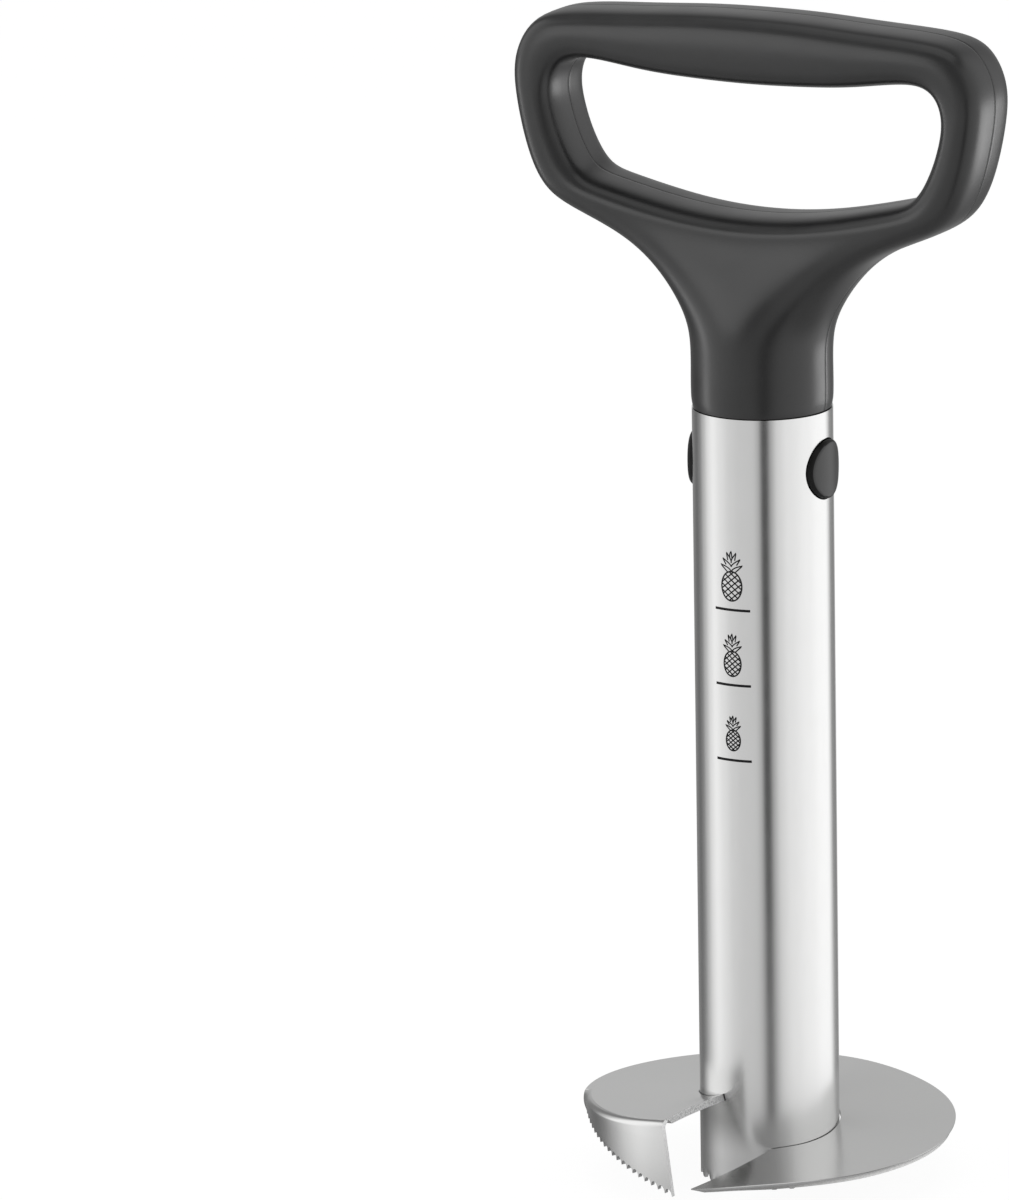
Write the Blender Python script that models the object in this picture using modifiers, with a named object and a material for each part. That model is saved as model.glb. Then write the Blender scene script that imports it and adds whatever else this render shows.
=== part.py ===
"""Pineapple slicer: a coring tube with a helical blade, and a D-shaped handle that latches into the tube.

Metres, +Z up. The origin is on the tube's axis, level with the tips of its teeth. The handle is wide
along X, the buttons press inward along X, and the front of the handle looks along -Y.
"""
import bmesh
import bpy
from math import acos, atan2, ceil, cos, hypot, pi, radians, sin, sqrt
from mathutils import Matrix, Vector

# Fits
CLEARANCE = 0.0003
OVERRUN = 0.002

# Coring tube
TUBE_RADIUS = 0.0165
TUBE_WALL = 0.0008
TUBE_LENGTH = 0.18585
TUBE_TOOTH_DEPTH = 0.0015
TUBE_TEETH = 24
TUBE_TOOTH_SHARES = (-0.12, 0.12, 0.40, 0.60)

# Blade
BLADE_RADIUS = 0.044
BLADE_THICKNESS = 0.0012
BLADE_TIP_HEIGHT = 0.00756
BLADE_RISE = 0.01517
BLADE_DISH = 0.0003
BLADE_TIP_ANGLE = radians(-88)
BLADE_ROOT_ANGLE = radians(-62)
BLADE_END_ANGLE = radians(261.5)
BLADE_END_SKEW = radians(-5.5)
BLADE_EDGE_SHARE = 0.2
BLADE_COLUMNS = 70
BLADE_RADIAL_SHARES = (0, 0.3, 0.65, 1)
# Share of the turn from the tip, share of the rise
BLADE_RISE_SHARES = ((0, 0), (0.07, 0.144), (0.166, 0.204), (0.252, 0.273), (0.335, 0.385), (0.424, 0.477),
                     (0.509, 0.575), (0.667, 0.63), (0.758, 0.69), (0.843, 0.77), (0.933, 0.865), (1, 1))

# Toothed flap, bent down from the blade's rim at its trailing end
FLAP_DEPTH = 0.018
FLAP_BEND_RADIUS = 0.0018
FLAP_START_SHARE = 0.8285
FLAP_TURNED_SHARE = 0.857
FLAP_DRAW_IN = 0.0004
FLAP_LEAN = radians(3.6)
FLAP_BEND_STEPS = 3
FLAP_WALL_STEPS = 2
FLAP_TOOTH_PITCH = 0.00207
FLAP_GULLET_RADIUS = 0.00085

# Push buttons
BUTTON_RADIUS = 0.007
BUTTON_DROP = 0.01355
BUTTON_STAND = 0.0013
BUTTON_TRAVEL = 0.003
BUTTON_ROUND = 0.001
BUTTON_FLANGE_LIP = 0.0014
BUTTON_FLANGE_THICKNESS = 0.0023
BUTTON_POCKET_DEPTH = 0.005

# Button springs
SPRING_RADIUS = 0.0032
SPRING_WIRE_RADIUS = 0.00035
SPRING_PLAY = 0.00065
SPRING_TURNS = 6
SPRING_POINTS_PER_TURN = 8

# Latch core and its cap
CORE_WALL = 0.0018
CORE_FLOOR = 0.003
CORE_HEAD_LENGTH = 0.0155
CORE_GROOVE_START = 0.0055
CORE_GROOVE_WIDTH = 0.005
CORE_GROOVE_DEPTH = 0.0025
CORE_FLAT = 0.001
CORE_HEAD_WALL = 0.002
CORE_WEB = 0.002
CORE_PEG_RADIUS = 0.0022
CORE_PEG_ROOM = 0.0012
CAP_PLUG_LENGTH = 0.0053
CAP_PLATE = 0.002
CAP_FLOOR = 0.002

# Handle
HANDLE_HALF_WIDTH = 0.0605
HANDLE_THICKNESS = 0.021
HANDLE_WALL = 0.0023
HANDLE_EDGE = 0.0028
HANDLE_INNER_EDGE_SHARE = 0.55
GRIP_DEPTH = 0.0165
SIDE_DEPTH = 0.0106
WINDOW_HEIGHT = 0.0309
NECK_HEIGHT = 0.04585
COLLAR_STEP = 0.00015
# Outer line from the top of the grip round to the neck: share of the half width, share of the height
# from the window's sill to the top of the grip
GRIP_LINE_SHARES = ((0, 1), (0.247, 0.994), (0.495, 0.976), (0.758, 0.955), (0.917, 0.888), (0.994, 0.719),
                    (0.995, 0.506), (0.949, 0.252), (0.872, 0.063), (0.745, -0.043))
# Neck line: share of the way out from the collar to the grip line's end, the same for the height
NECK_LINE_SHARES = ((0.608, 0.886), (0.293, 0.726), (0.068, 0.51), (0, 0.316), (0, 0.11), (-0.016, -0.072),
                    (-0.044, -0.254))
NECK_ROUND_SHARES = (0, 0.1, 0.48, 0.93, 1, 1, 1, 1)
NECK_DIP_SHARES = (0.137, 0.114, 0.08, 0.02, 0, 0, 0, 0)
# Window line from its top down to the sill: share of its half width, share of its height
WINDOW_LINE_SHARES = ((0, 1), (0.281, 1.011), (0.561, 1.045), (0.832, 1.096), (0.964, 1.026), (1, 0.851),
                      (0.982, 0.657), (0.94, 0.46), (0.86, 0.256), (0.701, 0.157), (0.361, 0.045), (0, 0))

# Pins, bosses and ribs inside the handle
BOSS_RADIUS = 0.0023
PIN_RADIUS = 0.0012
PIN_LENGTH = 0.004
BOSS_SHARES = ((-0.6, 0.829), (0.6, 0.829), (-0.862, 0.292), (0.862, 0.292), (0, -0.2))
RIB_THICKNESS = 0.0014
RIB_HEIGHT = 0.0055
RIB_SHARES = (-0.3, 0.3)

# Heights and radii that follow from the sizes above
BORE_RADIUS = TUBE_RADIUS - TUBE_WALL
BARREL_RADIUS = BORE_RADIUS - CLEARANCE
BARREL_BORE = BARREL_RADIUS - CORE_WALL
BUTTON_HEIGHT = TUBE_LENGTH - BUTTON_DROP
BUTTON_HOLE_RADIUS = BUTTON_RADIUS + CLEARANCE
FLANGE_HALF = BUTTON_RADIUS + BUTTON_FLANGE_LIP
FLANGE_RADIUS = BARREL_BORE - CLEARANCE
FLANGE_BACK = sqrt(FLANGE_RADIUS ** 2 - FLANGE_HALF ** 2) - BUTTON_FLANGE_THICKNESS
BUTTON_FACE = TUBE_RADIUS + BUTTON_STAND
POCKET_RADIUS = SPRING_RADIUS + SPRING_WIRE_RADIUS + SPRING_PLAY
POCKET_FLOOR = FLANGE_BACK + BUTTON_POCKET_DEPTH
CHAMBER_TOP = BUTTON_HEIGHT + FLANGE_HALF + CLEARANCE
CAP_TOP = BUTTON_HEIGHT - FLANGE_HALF - CLEARANCE
BARREL_BOTTOM = CAP_TOP - CAP_PLUG_LENGTH
COLLAR_HEIGHT = TUBE_LENGTH + CLEARANCE
COLLAR_RADIUS = TUBE_RADIUS + COLLAR_STEP
HEAD_RADIUS = COLLAR_RADIUS - HANDLE_WALL - CLEARANCE
GROOVE_RADIUS = HEAD_RADIUS - CORE_GROOVE_DEPTH
FLAT_DISTANCE = GROOVE_RADIUS - CORE_FLAT
HEAD_BORE = FLAT_DISTANCE - CORE_HEAD_WALL
HEAD_TOP = TUBE_LENGTH + CORE_HEAD_LENGTH
GROOVE_BOTTOM = COLLAR_HEIGHT + CORE_GROOVE_START
GROOVE_TOP = GROOVE_BOTTOM + CORE_GROOVE_WIDTH
SILL_HEIGHT = COLLAR_HEIGHT + NECK_HEIGHT
LOOP_HEIGHT = WINDOW_HEIGHT + GRIP_DEPTH
GRIP_TOP = SILL_HEIGHT + LOOP_HEIGHT
WINDOW_HALF_WIDTH = HANDLE_HALF_WIDTH - SIDE_DEPTH
BLADE_BORE = TUBE_RADIUS + CLEARANCE

# A distance and a steps count that every cutter and merge shares
MERGE_SHARE = 0.02
MERGE_DISTANCE = MERGE_SHARE * CLEARANCE
ROUND_STEPS = 36
SMALL_STEPS = 16

for old in list(bpy.data.objects):
    bpy.data.objects.remove(old, do_unlink=True)

PARTS = bpy.data.collections.new("pineapple_slicer")
CUTTERS = bpy.data.collections.new("cutters")
bpy.context.scene.collection.children.link(PARTS)
bpy.context.scene.collection.children.link(CUTTERS)


# Helpers

def add_object(name, mesh, collection=PARTS):
    """Put a mesh or curve in the scene, as a part or as a hidden cutter."""
    item = bpy.data.objects.new(name, mesh)
    collection.objects.link(item)
    if collection is CUTTERS:
        item.hide_render = True
        item.display_type = "WIRE"
    return item


def mesh_object(name, builder, collection=PARTS):
    """Make an object from a bmesh and free the bmesh."""
    mesh = bpy.data.meshes.new(name)
    builder.to_mesh(mesh)
    builder.free()
    return add_object(name, mesh, collection)


def boxes(name, corners, collection=CUTTERS):
    """Boxes in one mesh, each given by its low and its high corner."""
    builder = bmesh.new()
    for low, high in corners:
        low, high = Vector(low), Vector(high)
        size = Matrix.Diagonal((high - low).to_4d())
        bmesh.ops.create_cube(builder, size=1, matrix=Matrix.Translation((low + high) / 2) @ size)
    return mesh_object(name, builder, collection)


def rods(name, radius, spans, steps=SMALL_STEPS, collection=CUTTERS):
    """Round rods of one radius in one mesh, each given by its two ends."""
    builder = bmesh.new()
    for start, end in spans:
        start, end = Vector(start), Vector(end)
        turn = (end - start).to_track_quat("Z", "Y").to_matrix().to_4x4()
        bmesh.ops.create_cone(builder, cap_ends=True, segments=steps, radius1=radius, radius2=radius,
                              depth=(end - start).length,
                              matrix=Matrix.Translation((start + end) / 2) @ turn)
    return mesh_object(name, builder, collection)


def turned(name, profile, steps=ROUND_STEPS, closed=False, collection=PARTS):
    """Turn a profile of (radius, height) points, listed down its outer side, round Z."""
    builder = bmesh.new()
    points = [builder.verts.new((radius, 0, height)) for radius, height in profile]
    for first, second in zip(points, points[1:]):
        builder.edges.new((first, second))
    if closed:
        builder.edges.new((points[-1], points[0]))
    item = mesh_object(name, builder, collection)
    screw = item.modifiers.new("Turn", "SCREW")
    screw.steps = steps
    screw.render_steps = steps
    screw.use_merge_vertices = True
    screw.merge_threshold = MERGE_DISTANCE
    return item


def combine(item, other, operation):
    """Join, cut or intersect the item with another object."""
    boolean = item.modifiers.new(other.name, "BOOLEAN")
    boolean.operation = operation
    boolean.solver = "EXACT"
    boolean.object = other


def made_solid(item, name, collection):
    """Replace a curve or a modified object by its plain welded mesh."""
    bpy.context.view_layer.update()
    mesh = bpy.data.meshes.new_from_object(item.evaluated_get(bpy.context.evaluated_depsgraph_get()))
    builder = bmesh.new()
    builder.from_mesh(mesh)
    bmesh.ops.remove_doubles(builder, verts=builder.verts, dist=MERGE_DISTANCE)
    builder.to_mesh(mesh)
    builder.free()
    solid = add_object(name, mesh, collection)
    solid.matrix_world = item.matrix_world
    bpy.data.objects.remove(item, do_unlink=True)
    return solid


def set_material(item, name, color, roughness, metallic):
    """Give the part its own Principled material."""
    material = bpy.data.materials.new(name)
    material.use_nodes = True
    shader = material.node_tree.nodes["Principled BSDF"]
    shader.inputs["Base Color"].default_value = (*color, 1)
    shader.inputs["Roughness"].default_value = roughness
    shader.inputs["Metallic"].default_value = metallic
    material.diffuse_color = (*color, 1)
    item.data.materials.append(material)


def blend(table, share):
    """Read a table of (place, value) pairs along a smooth line that keeps the table's rise."""
    for index in range(len(table) - 1):
        start, end = table[index], table[index + 1]
        if share <= end[0] or index == len(table) - 2:
            break
    before = table[max(index - 1, 0)]
    after = table[min(index + 2, len(table) - 1)]
    width = end[0] - start[0]
    slope_in = (end[1] - before[1]) / (end[0] - before[0]) * width
    slope_out = (after[1] - start[1]) / (after[0] - start[0]) * width
    t = (share - start[0]) / width
    return ((2 * t ** 3 - 3 * t ** 2 + 1) * start[1] + (t ** 3 - 2 * t ** 2 + t) * slope_in
            + (3 * t ** 2 - 2 * t ** 3) * end[1] + (t ** 3 - t ** 2) * slope_out)


# Coring tube

def make_tube():
    """Thin steel tube with a ring of cutting teeth below and two button holes near its top."""
    pitch = 2 * pi / TUBE_TEETH
    heights = (0, 0, TUBE_TOOTH_DEPTH, TUBE_TOOTH_DEPTH)
    builder = bmesh.new()
    rows = [[], [], []]
    for tooth in range(TUBE_TEETH):
        for share, height in zip(TUBE_TOOTH_SHARES, heights):
            angle = (tooth + share) * pitch
            for row, level in zip(rows, (height, 2 * TUBE_TOOTH_DEPTH, TUBE_LENGTH)):
                point = (TUBE_RADIUS * cos(angle), TUBE_RADIUS * sin(angle), level)
                row.append(builder.verts.new(point))
    count = len(rows[0])
    for lower, upper in zip(rows, rows[1:]):
        for index in range(count):
            following = (index + 1) % count
            builder.faces.new((lower[index], lower[following], upper[following], upper[index]))
    tube = mesh_object("cutter_tube", builder)
    wall = tube.modifiers.new("Wall", "SOLIDIFY")
    wall.thickness = TUBE_WALL
    wall.offset = -1
    reach = TUBE_RADIUS + OVERRUN
    holes = rods("button_holes", BUTTON_HOLE_RADIUS,
                 [((-reach, 0, BUTTON_HEIGHT), (reach, 0, BUTTON_HEIGHT))], ROUND_STEPS)
    combine(tube, holes, "DIFFERENCE")
    set_material(tube, "brushed_steel", (0.58, 0.58, 0.57), 0.28, 1)
    return tube


# Blade

def blade_height(turn, radius=BLADE_RADIUS):
    """Height of the blade's upper face at a share of its turn from the tip."""
    dish = BLADE_DISH * (BLADE_RADIUS - radius) / (BLADE_RADIUS - BLADE_BORE)
    return BLADE_TIP_HEIGHT + BLADE_RISE * blend(BLADE_RISE_SHARES, turn) + dish


def turn_share(angle):
    """Share of the blade's turn at an angle."""
    return (angle - BLADE_TIP_ANGLE) / (BLADE_END_ANGLE - BLADE_TIP_ANGLE)


def leading_angle(radius):
    """Angle at which a circle meets the straight cutting edge between the blade's root and its tip."""
    root = Vector((BLADE_BORE * cos(BLADE_ROOT_ANGLE), BLADE_BORE * sin(BLADE_ROOT_ANGLE)))
    tip = Vector((BLADE_RADIUS * cos(BLADE_TIP_ANGLE), BLADE_RADIUS * sin(BLADE_TIP_ANGLE)))
    along = (tip - root).normalized()
    foot = root - along * root.dot(along)
    return atan2(foot.y, foot.x) - acos(foot.length / radius)


def flap_turn(share):
    """How far the flap is bent down at a share of the blade's turn."""
    way = (share - FLAP_START_SHARE) / (FLAP_TURNED_SHARE - FLAP_START_SHARE)
    return pi / 2 * min(max(way, 0), 1)


def flap_point(share, depth_share):
    """Point on the flap's outer face, from the start of the bend down to its lower edge."""
    angle = BLADE_TIP_ANGLE + share * (BLADE_END_ANGLE - BLADE_TIP_ANGLE)
    way = (share - FLAP_START_SHARE) / (1 - FLAP_START_SHARE)
    bend = max(flap_turn(share), flap_turn(FLAP_TURNED_SHARE) * MERGE_SHARE)
    start_height = blade_height(FLAP_START_SHARE)
    end_height = blade_height(1) - FLAP_DEPTH
    drop = blade_height(share) - start_height - way * (end_height - start_height)
    curl = bend * FLAP_BEND_RADIUS
    bend_drop = FLAP_BEND_RADIUS * (1 - cos(bend))
    straight = max((drop - bend_drop) / sin(bend), 0)
    bend_part = FLAP_BEND_STEPS / (FLAP_BEND_STEPS + FLAP_WALL_STEPS)
    if depth_share <= bend_part:
        part = bend * depth_share / bend_part
        outward = FLAP_BEND_RADIUS * sin(part)
        down = FLAP_BEND_RADIUS * (1 - cos(part))
    else:
        run = straight * (depth_share - bend_part) / (1 - bend_part)
        outward = FLAP_BEND_RADIUS * sin(bend) + run * cos(bend)
        down = bend_drop + run * sin(bend)
    radius = BLADE_RADIUS - FLAP_BEND_RADIUS + outward - FLAP_DRAW_IN * sin(bend)
    lean = FLAP_LEAN * down / FLAP_DEPTH
    height = blade_height(share) - down
    return Vector((radius * cos(angle + lean), radius * sin(angle + lean), height)), angle + lean


def make_blade():
    """Helical blade: a sharp leading edge, one turn of sheet and a toothed flap at the trailing end."""
    flat_radius = BLADE_RADIUS - FLAP_BEND_RADIUS
    columns = [0, MERGE_SHARE / 2] + [index / BLADE_COLUMNS for index in range(1, BLADE_COLUMNS + 1)]
    builder = bmesh.new()
    weights = builder.verts.layers.deform.verify()
    grid = []
    for share in columns:
        column = []
        for radial in BLADE_RADIAL_SHARES:
            radius = BLADE_BORE + radial * (flat_radius - BLADE_BORE)
            start = leading_angle(radius)
            end = BLADE_END_ANGLE + BLADE_END_SKEW * (1 - radial)
            angle = start + share * (end - start)
            height = blade_height(turn_share(angle), radius)
            point = builder.verts.new((radius * cos(angle), radius * sin(angle), height))
            column.append(point)
        if share < FLAP_START_SHARE:
            angle = BLADE_TIP_ANGLE + share * (BLADE_END_ANGLE - BLADE_TIP_ANGLE)
            point = (BLADE_RADIUS * cos(angle), BLADE_RADIUS * sin(angle), blade_height(share))
            column.append(builder.verts.new(point))
        else:
            steps = FLAP_BEND_STEPS + FLAP_WALL_STEPS
            for step in range(1, steps + 1):
                point, _ = flap_point(share, step / steps)
                column.append(builder.verts.new(point))
        for point in column:
            point[weights][0] = 0.0 if share == 0 else 1.0
        grid.append(column)
    for before, after in zip(grid, grid[1:]):
        shared = min(len(before), len(after))
        for row in range(shared - 1):
            builder.faces.new((before[row], before[row + 1], after[row + 1], after[row]))
        if len(after) > shared:
            builder.faces.new([before[shared - 1]] + after[:shared - 2:-1])
    blade = mesh_object("slicing_blade", builder)
    blade.vertex_groups.new(name="full_thickness")
    sheet = blade.modifiers.new("Sheet", "SOLIDIFY")
    sheet.thickness = BLADE_THICKNESS
    sheet.offset = -1
    sheet.vertex_group = "full_thickness"
    sheet.thickness_vertex_group = BLADE_EDGE_SHARE
    combine(blade, gullets(), "DIFFERENCE")
    set_material(blade, "polished_sheet_steel", (0.55, 0.55, 0.55), 0.25, 1)
    return blade


def gullets():
    """Round gullets along the flap's lower edge, each bored square to the sheet."""
    start, _ = flap_point(FLAP_TURNED_SHARE, 1)
    end, _ = flap_point(1, 1)
    arc = BLADE_RADIUS * (1 - FLAP_TURNED_SHARE) * (BLADE_END_ANGLE - BLADE_TIP_ANGLE)
    count = ceil(hypot(arc, end.z - start.z) / FLAP_TOOTH_PITCH)
    spans = []
    for index in range(count):
        share = FLAP_TURNED_SHARE + (1 - FLAP_TURNED_SHARE) * (index + 0.5) / count
        point, angle = flap_point(share, 1)
        outward = Vector((cos(angle), sin(angle), 0))
        low = point - Vector((0, 0, FLAP_GULLET_RADIUS * MERGE_SHARE * 5))
        spans.append((low - outward * (BLADE_THICKNESS + OVERRUN), low + outward * OVERRUN))
    return rods("flap_gullets", FLAP_GULLET_RADIUS, spans, 10)


# Buttons and springs

def make_button(name, side):
    """Push button whose face follows the tube, with a square flange that keeps it in the barrel."""
    round_steps = 3
    profile = [(0, BUTTON_FACE)]
    for step in range(round_steps + 1):
        angle = pi / 2 * step / round_steps
        profile.append((BUTTON_RADIUS - BUTTON_ROUND * (1 - sin(angle)),
                        BUTTON_FACE - BUTTON_ROUND * (1 - cos(angle))))
    profile[1:1] = [(BUTTON_RADIUS * share, BUTTON_FACE) for share in (0.35, 0.7)]
    plug_back = FLANGE_BACK + BUTTON_FLANGE_THICKNESS / 2
    profile += [(BUTTON_RADIUS, plug_back), (0, plug_back)]
    plug = turned(name + "_turned", profile, ROUND_STEPS - SMALL_STEPS // 2, collection=CUTTERS)
    plug = made_solid(plug, name, PARTS)
    for point in plug.data.vertices:
        radius, across, height = point.co.z, point.co.y, point.co.x
        if radius > plug_back + OVERRUN:
            radius -= BUTTON_FACE - sqrt(BUTTON_FACE ** 2 - across ** 2)
        point.co = (radius, across * side, height * side)
    plug.data.transform(Matrix.Rotation(0 if side > 0 else pi, 4, "Z"))
    plug.location = (0, 0, BUTTON_HEIGHT)
    reach = FLANGE_RADIUS + OVERRUN
    near, far = sorted((side * FLANGE_BACK, side * reach))
    low, high = BUTTON_HEIGHT - FLANGE_HALF, BUTTON_HEIGHT + FLANGE_HALF
    flange = boxes(name + "_flange", [((near, -FLANGE_HALF, low), (far, FLANGE_HALF, high))])
    barrel = rods(name + "_flange_round", FLANGE_RADIUS, [((0, 0, low - OVERRUN), (0, 0, high + OVERRUN))],
                  ROUND_STEPS)
    combine(flange, barrel, "INTERSECT")
    combine(plug, flange, "UNION")
    pocket = rods(name + "_pocket", POCKET_RADIUS,
                  [((side * (FLANGE_BACK - OVERRUN), 0, BUTTON_HEIGHT),
                    (side * POCKET_FLOOR, 0, BUTTON_HEIGHT))])
    combine(plug, pocket, "DIFFERENCE")
    set_material(plug, name + "_plastic", (0.03, 0.03, 0.032), 0.38, 0)
    return plug


def make_spring(name, side):
    """Compression spring between the core's web and the floor of the button's pocket."""
    start = CORE_WEB / 2 + CLEARANCE + SPRING_WIRE_RADIUS
    end = POCKET_FLOOR - CLEARANCE - SPRING_WIRE_RADIUS
    steps = SPRING_TURNS * SPRING_POINTS_PER_TURN
    curve = bpy.data.curves.new(name, "CURVE")
    curve.dimensions = "3D"
    curve.bevel_depth = SPRING_WIRE_RADIUS
    curve.bevel_resolution = 1
    curve.use_fill_caps = True
    line = curve.splines.new("POLY")
    line.points.add(steps)
    for index in range(steps + 1):
        angle = 2 * pi * index / SPRING_POINTS_PER_TURN
        along = side * (start + (end - start) * index / steps)
        line.points[index].co = (along, SPRING_RADIUS * cos(angle),
                                 BUTTON_HEIGHT + SPRING_RADIUS * sin(angle), 1)
    spring = made_solid(add_object(name + "_line", curve, CUTTERS), name, PARTS)
    gap = (end - start) / SPRING_TURNS - 2 * SPRING_WIRE_RADIUS
    print(name, "least gap between turns:", round(gap, 5))
    set_material(spring, name + "_wire", (0.5, 0.5, 0.5), 0.3, 1)
    return spring


# Latch core and cap

def make_core():
    """Moulded plug: its barrel enters the tube and holds the buttons, its head is held in the neck."""
    profile = [(0, CHAMBER_TOP + CORE_FLOOR), (HEAD_BORE, CHAMBER_TOP + CORE_FLOOR), (HEAD_BORE, HEAD_TOP),
               (HEAD_RADIUS, HEAD_TOP), (HEAD_RADIUS, GROOVE_TOP), (GROOVE_RADIUS, GROOVE_TOP),
               (GROOVE_RADIUS, GROOVE_BOTTOM), (HEAD_RADIUS, GROOVE_BOTTOM), (HEAD_RADIUS, TUBE_LENGTH),
               (BARREL_RADIUS, TUBE_LENGTH), (BARREL_RADIUS, BARREL_BOTTOM), (BARREL_BORE, BARREL_BOTTOM),
               (BARREL_BORE, CHAMBER_TOP), (0, CHAMBER_TOP)]
    core = turned("latch_core", profile)
    reach = BARREL_RADIUS + OVERRUN
    windows = rods("core_windows", BUTTON_HOLE_RADIUS,
                   [((-reach, 0, BUTTON_HEIGHT), (reach, 0, BUTTON_HEIGHT))], ROUND_STEPS)
    combine(core, windows, "DIFFERENCE")
    flats = boxes("core_flats", [((-reach, -reach, GROOVE_BOTTOM), (-FLAT_DISTANCE, reach, GROOVE_TOP)),
                                 ((FLAT_DISTANCE, -reach, GROOVE_BOTTOM), (reach, reach, GROOVE_TOP))])
    combine(core, flats, "DIFFERENCE")
    half_web = CORE_WEB / 2
    into_wall = BARREL_BORE + CORE_WALL / 2
    web = boxes("core_web", [((-half_web, -into_wall, CAP_TOP + CLEARANCE),
                              (half_web, into_wall, CHAMBER_TOP + CORE_FLOOR / 2))])
    combine(core, web, "UNION")
    peg_end = FLANGE_BACK - BUTTON_TRAVEL - CORE_PEG_ROOM
    peg = rods("core_pegs", CORE_PEG_RADIUS, [((-peg_end, 0, BUTTON_HEIGHT), (peg_end, 0, BUTTON_HEIGHT))])
    combine(core, peg, "UNION")
    set_material(core, "latch_core_plastic", (0.035, 0.035, 0.037), 0.5, 0)
    return core


def make_cap():
    """Cap that closes the barrel and carries the buttons' flanges."""
    plate_top = BARREL_BOTTOM - CLEARANCE
    plug_radius = BARREL_BORE - CLEARANCE
    hollow_radius = plug_radius - CORE_WALL
    profile = [(0, CAP_TOP), (plug_radius, CAP_TOP), (plug_radius, plate_top), (BARREL_RADIUS, plate_top),
               (BARREL_RADIUS, plate_top - CAP_PLATE), (hollow_radius, plate_top - CAP_PLATE),
               (hollow_radius, CAP_TOP - CAP_FLOOR), (0, CAP_TOP - CAP_FLOOR)]
    cap = turned("latch_cap", profile, ROUND_STEPS)
    set_material(cap, "latch_cap_plastic", (0.035, 0.035, 0.037), 0.5, 0)
    return cap


# Handle

def neighbours(points, index, mirrored_end):
    """The points before and after one, mirrored at the middle of the handle."""
    last = len(points) - 1
    following = points[min(index + 1, last)]
    if index == last and mirrored_end:
        following = Vector((-points[last - 1].x, points[last - 1].y))
    before = points[index - 1] if index else Vector((-points[1].x, points[1].y))
    return before, following


def set_in(points, distance, mirrored_end):
    """Move each point of a line square to it, to the right of its run."""
    moved = []
    for index, point in enumerate(points):
        before, following = neighbours(points, index, mirrored_end)
        run = (following - before).normalized()
        moved.append(point + distance * Vector((run.y, -run.x)))
    return moved


def through(points, mirrored_end):
    """Cage points whose smooth line passes through the given points."""
    cage = [point.copy() for point in points]
    for _ in range(40):
        for index in range(len(cage) - (0 if mirrored_end else 1)):
            before, following = neighbours(cage, index, mirrored_end)
            cage[index] += points[index] - (before + 4 * cage[index] + following) / 6
    return cage


def outer_line():
    """Outer line of the handle in the X-Z plane, from the top of the grip to below the collar."""
    line = [Vector(handle_place(*place)) for place in GRIP_LINE_SHARES]
    collar = Vector((COLLAR_RADIUS, COLLAR_HEIGHT))
    reach = line[-1] - collar
    return line + [collar + Vector((reach.x * x, reach.y * z)) for x, z in NECK_LINE_SHARES]


def window_line():
    """Line of the window, from its top to the middle of its sill."""
    return [Vector((WINDOW_HALF_WIDTH * x, SILL_HEIGHT + WINDOW_HEIGHT * z)) for x, z in WINDOW_LINE_SHARES]


def neck_section(place, inward, row, half_thickness, depth, edge):
    """Cage points of a neck row, from the outer line to the middle of the front, flat above, round below."""
    steps = 4
    swell = 6 / (4 + 2 * cos(pi / 2 / steps))
    round_share = NECK_ROUND_SHARES[row]
    corner = place + inward * edge
    flat = [Vector((place.x, 0)), Vector((place.x, edge - half_thickness)), Vector((corner.x, -half_thickness)),
            Vector((corner.x / 2, -half_thickness)), Vector((0, -half_thickness))]
    dip = NECK_DIP_SHARES[row] * NECK_HEIGHT
    points = []
    for step, plain in enumerate(flat):
        angle = pi / 2 * step / steps
        ring = Vector((place.x * swell * cos(angle), -depth * swell * sin(angle)))
        mixed = plain.lerp(ring, round_share)
        height = place.y + (corner.y - place.y) * (1 - round_share) * (step > 1)
        sink = dip * max(step - 2, 0) / 2
        points.append(Vector((mixed.x, mixed.y, height - sink)))
    return points


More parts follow.
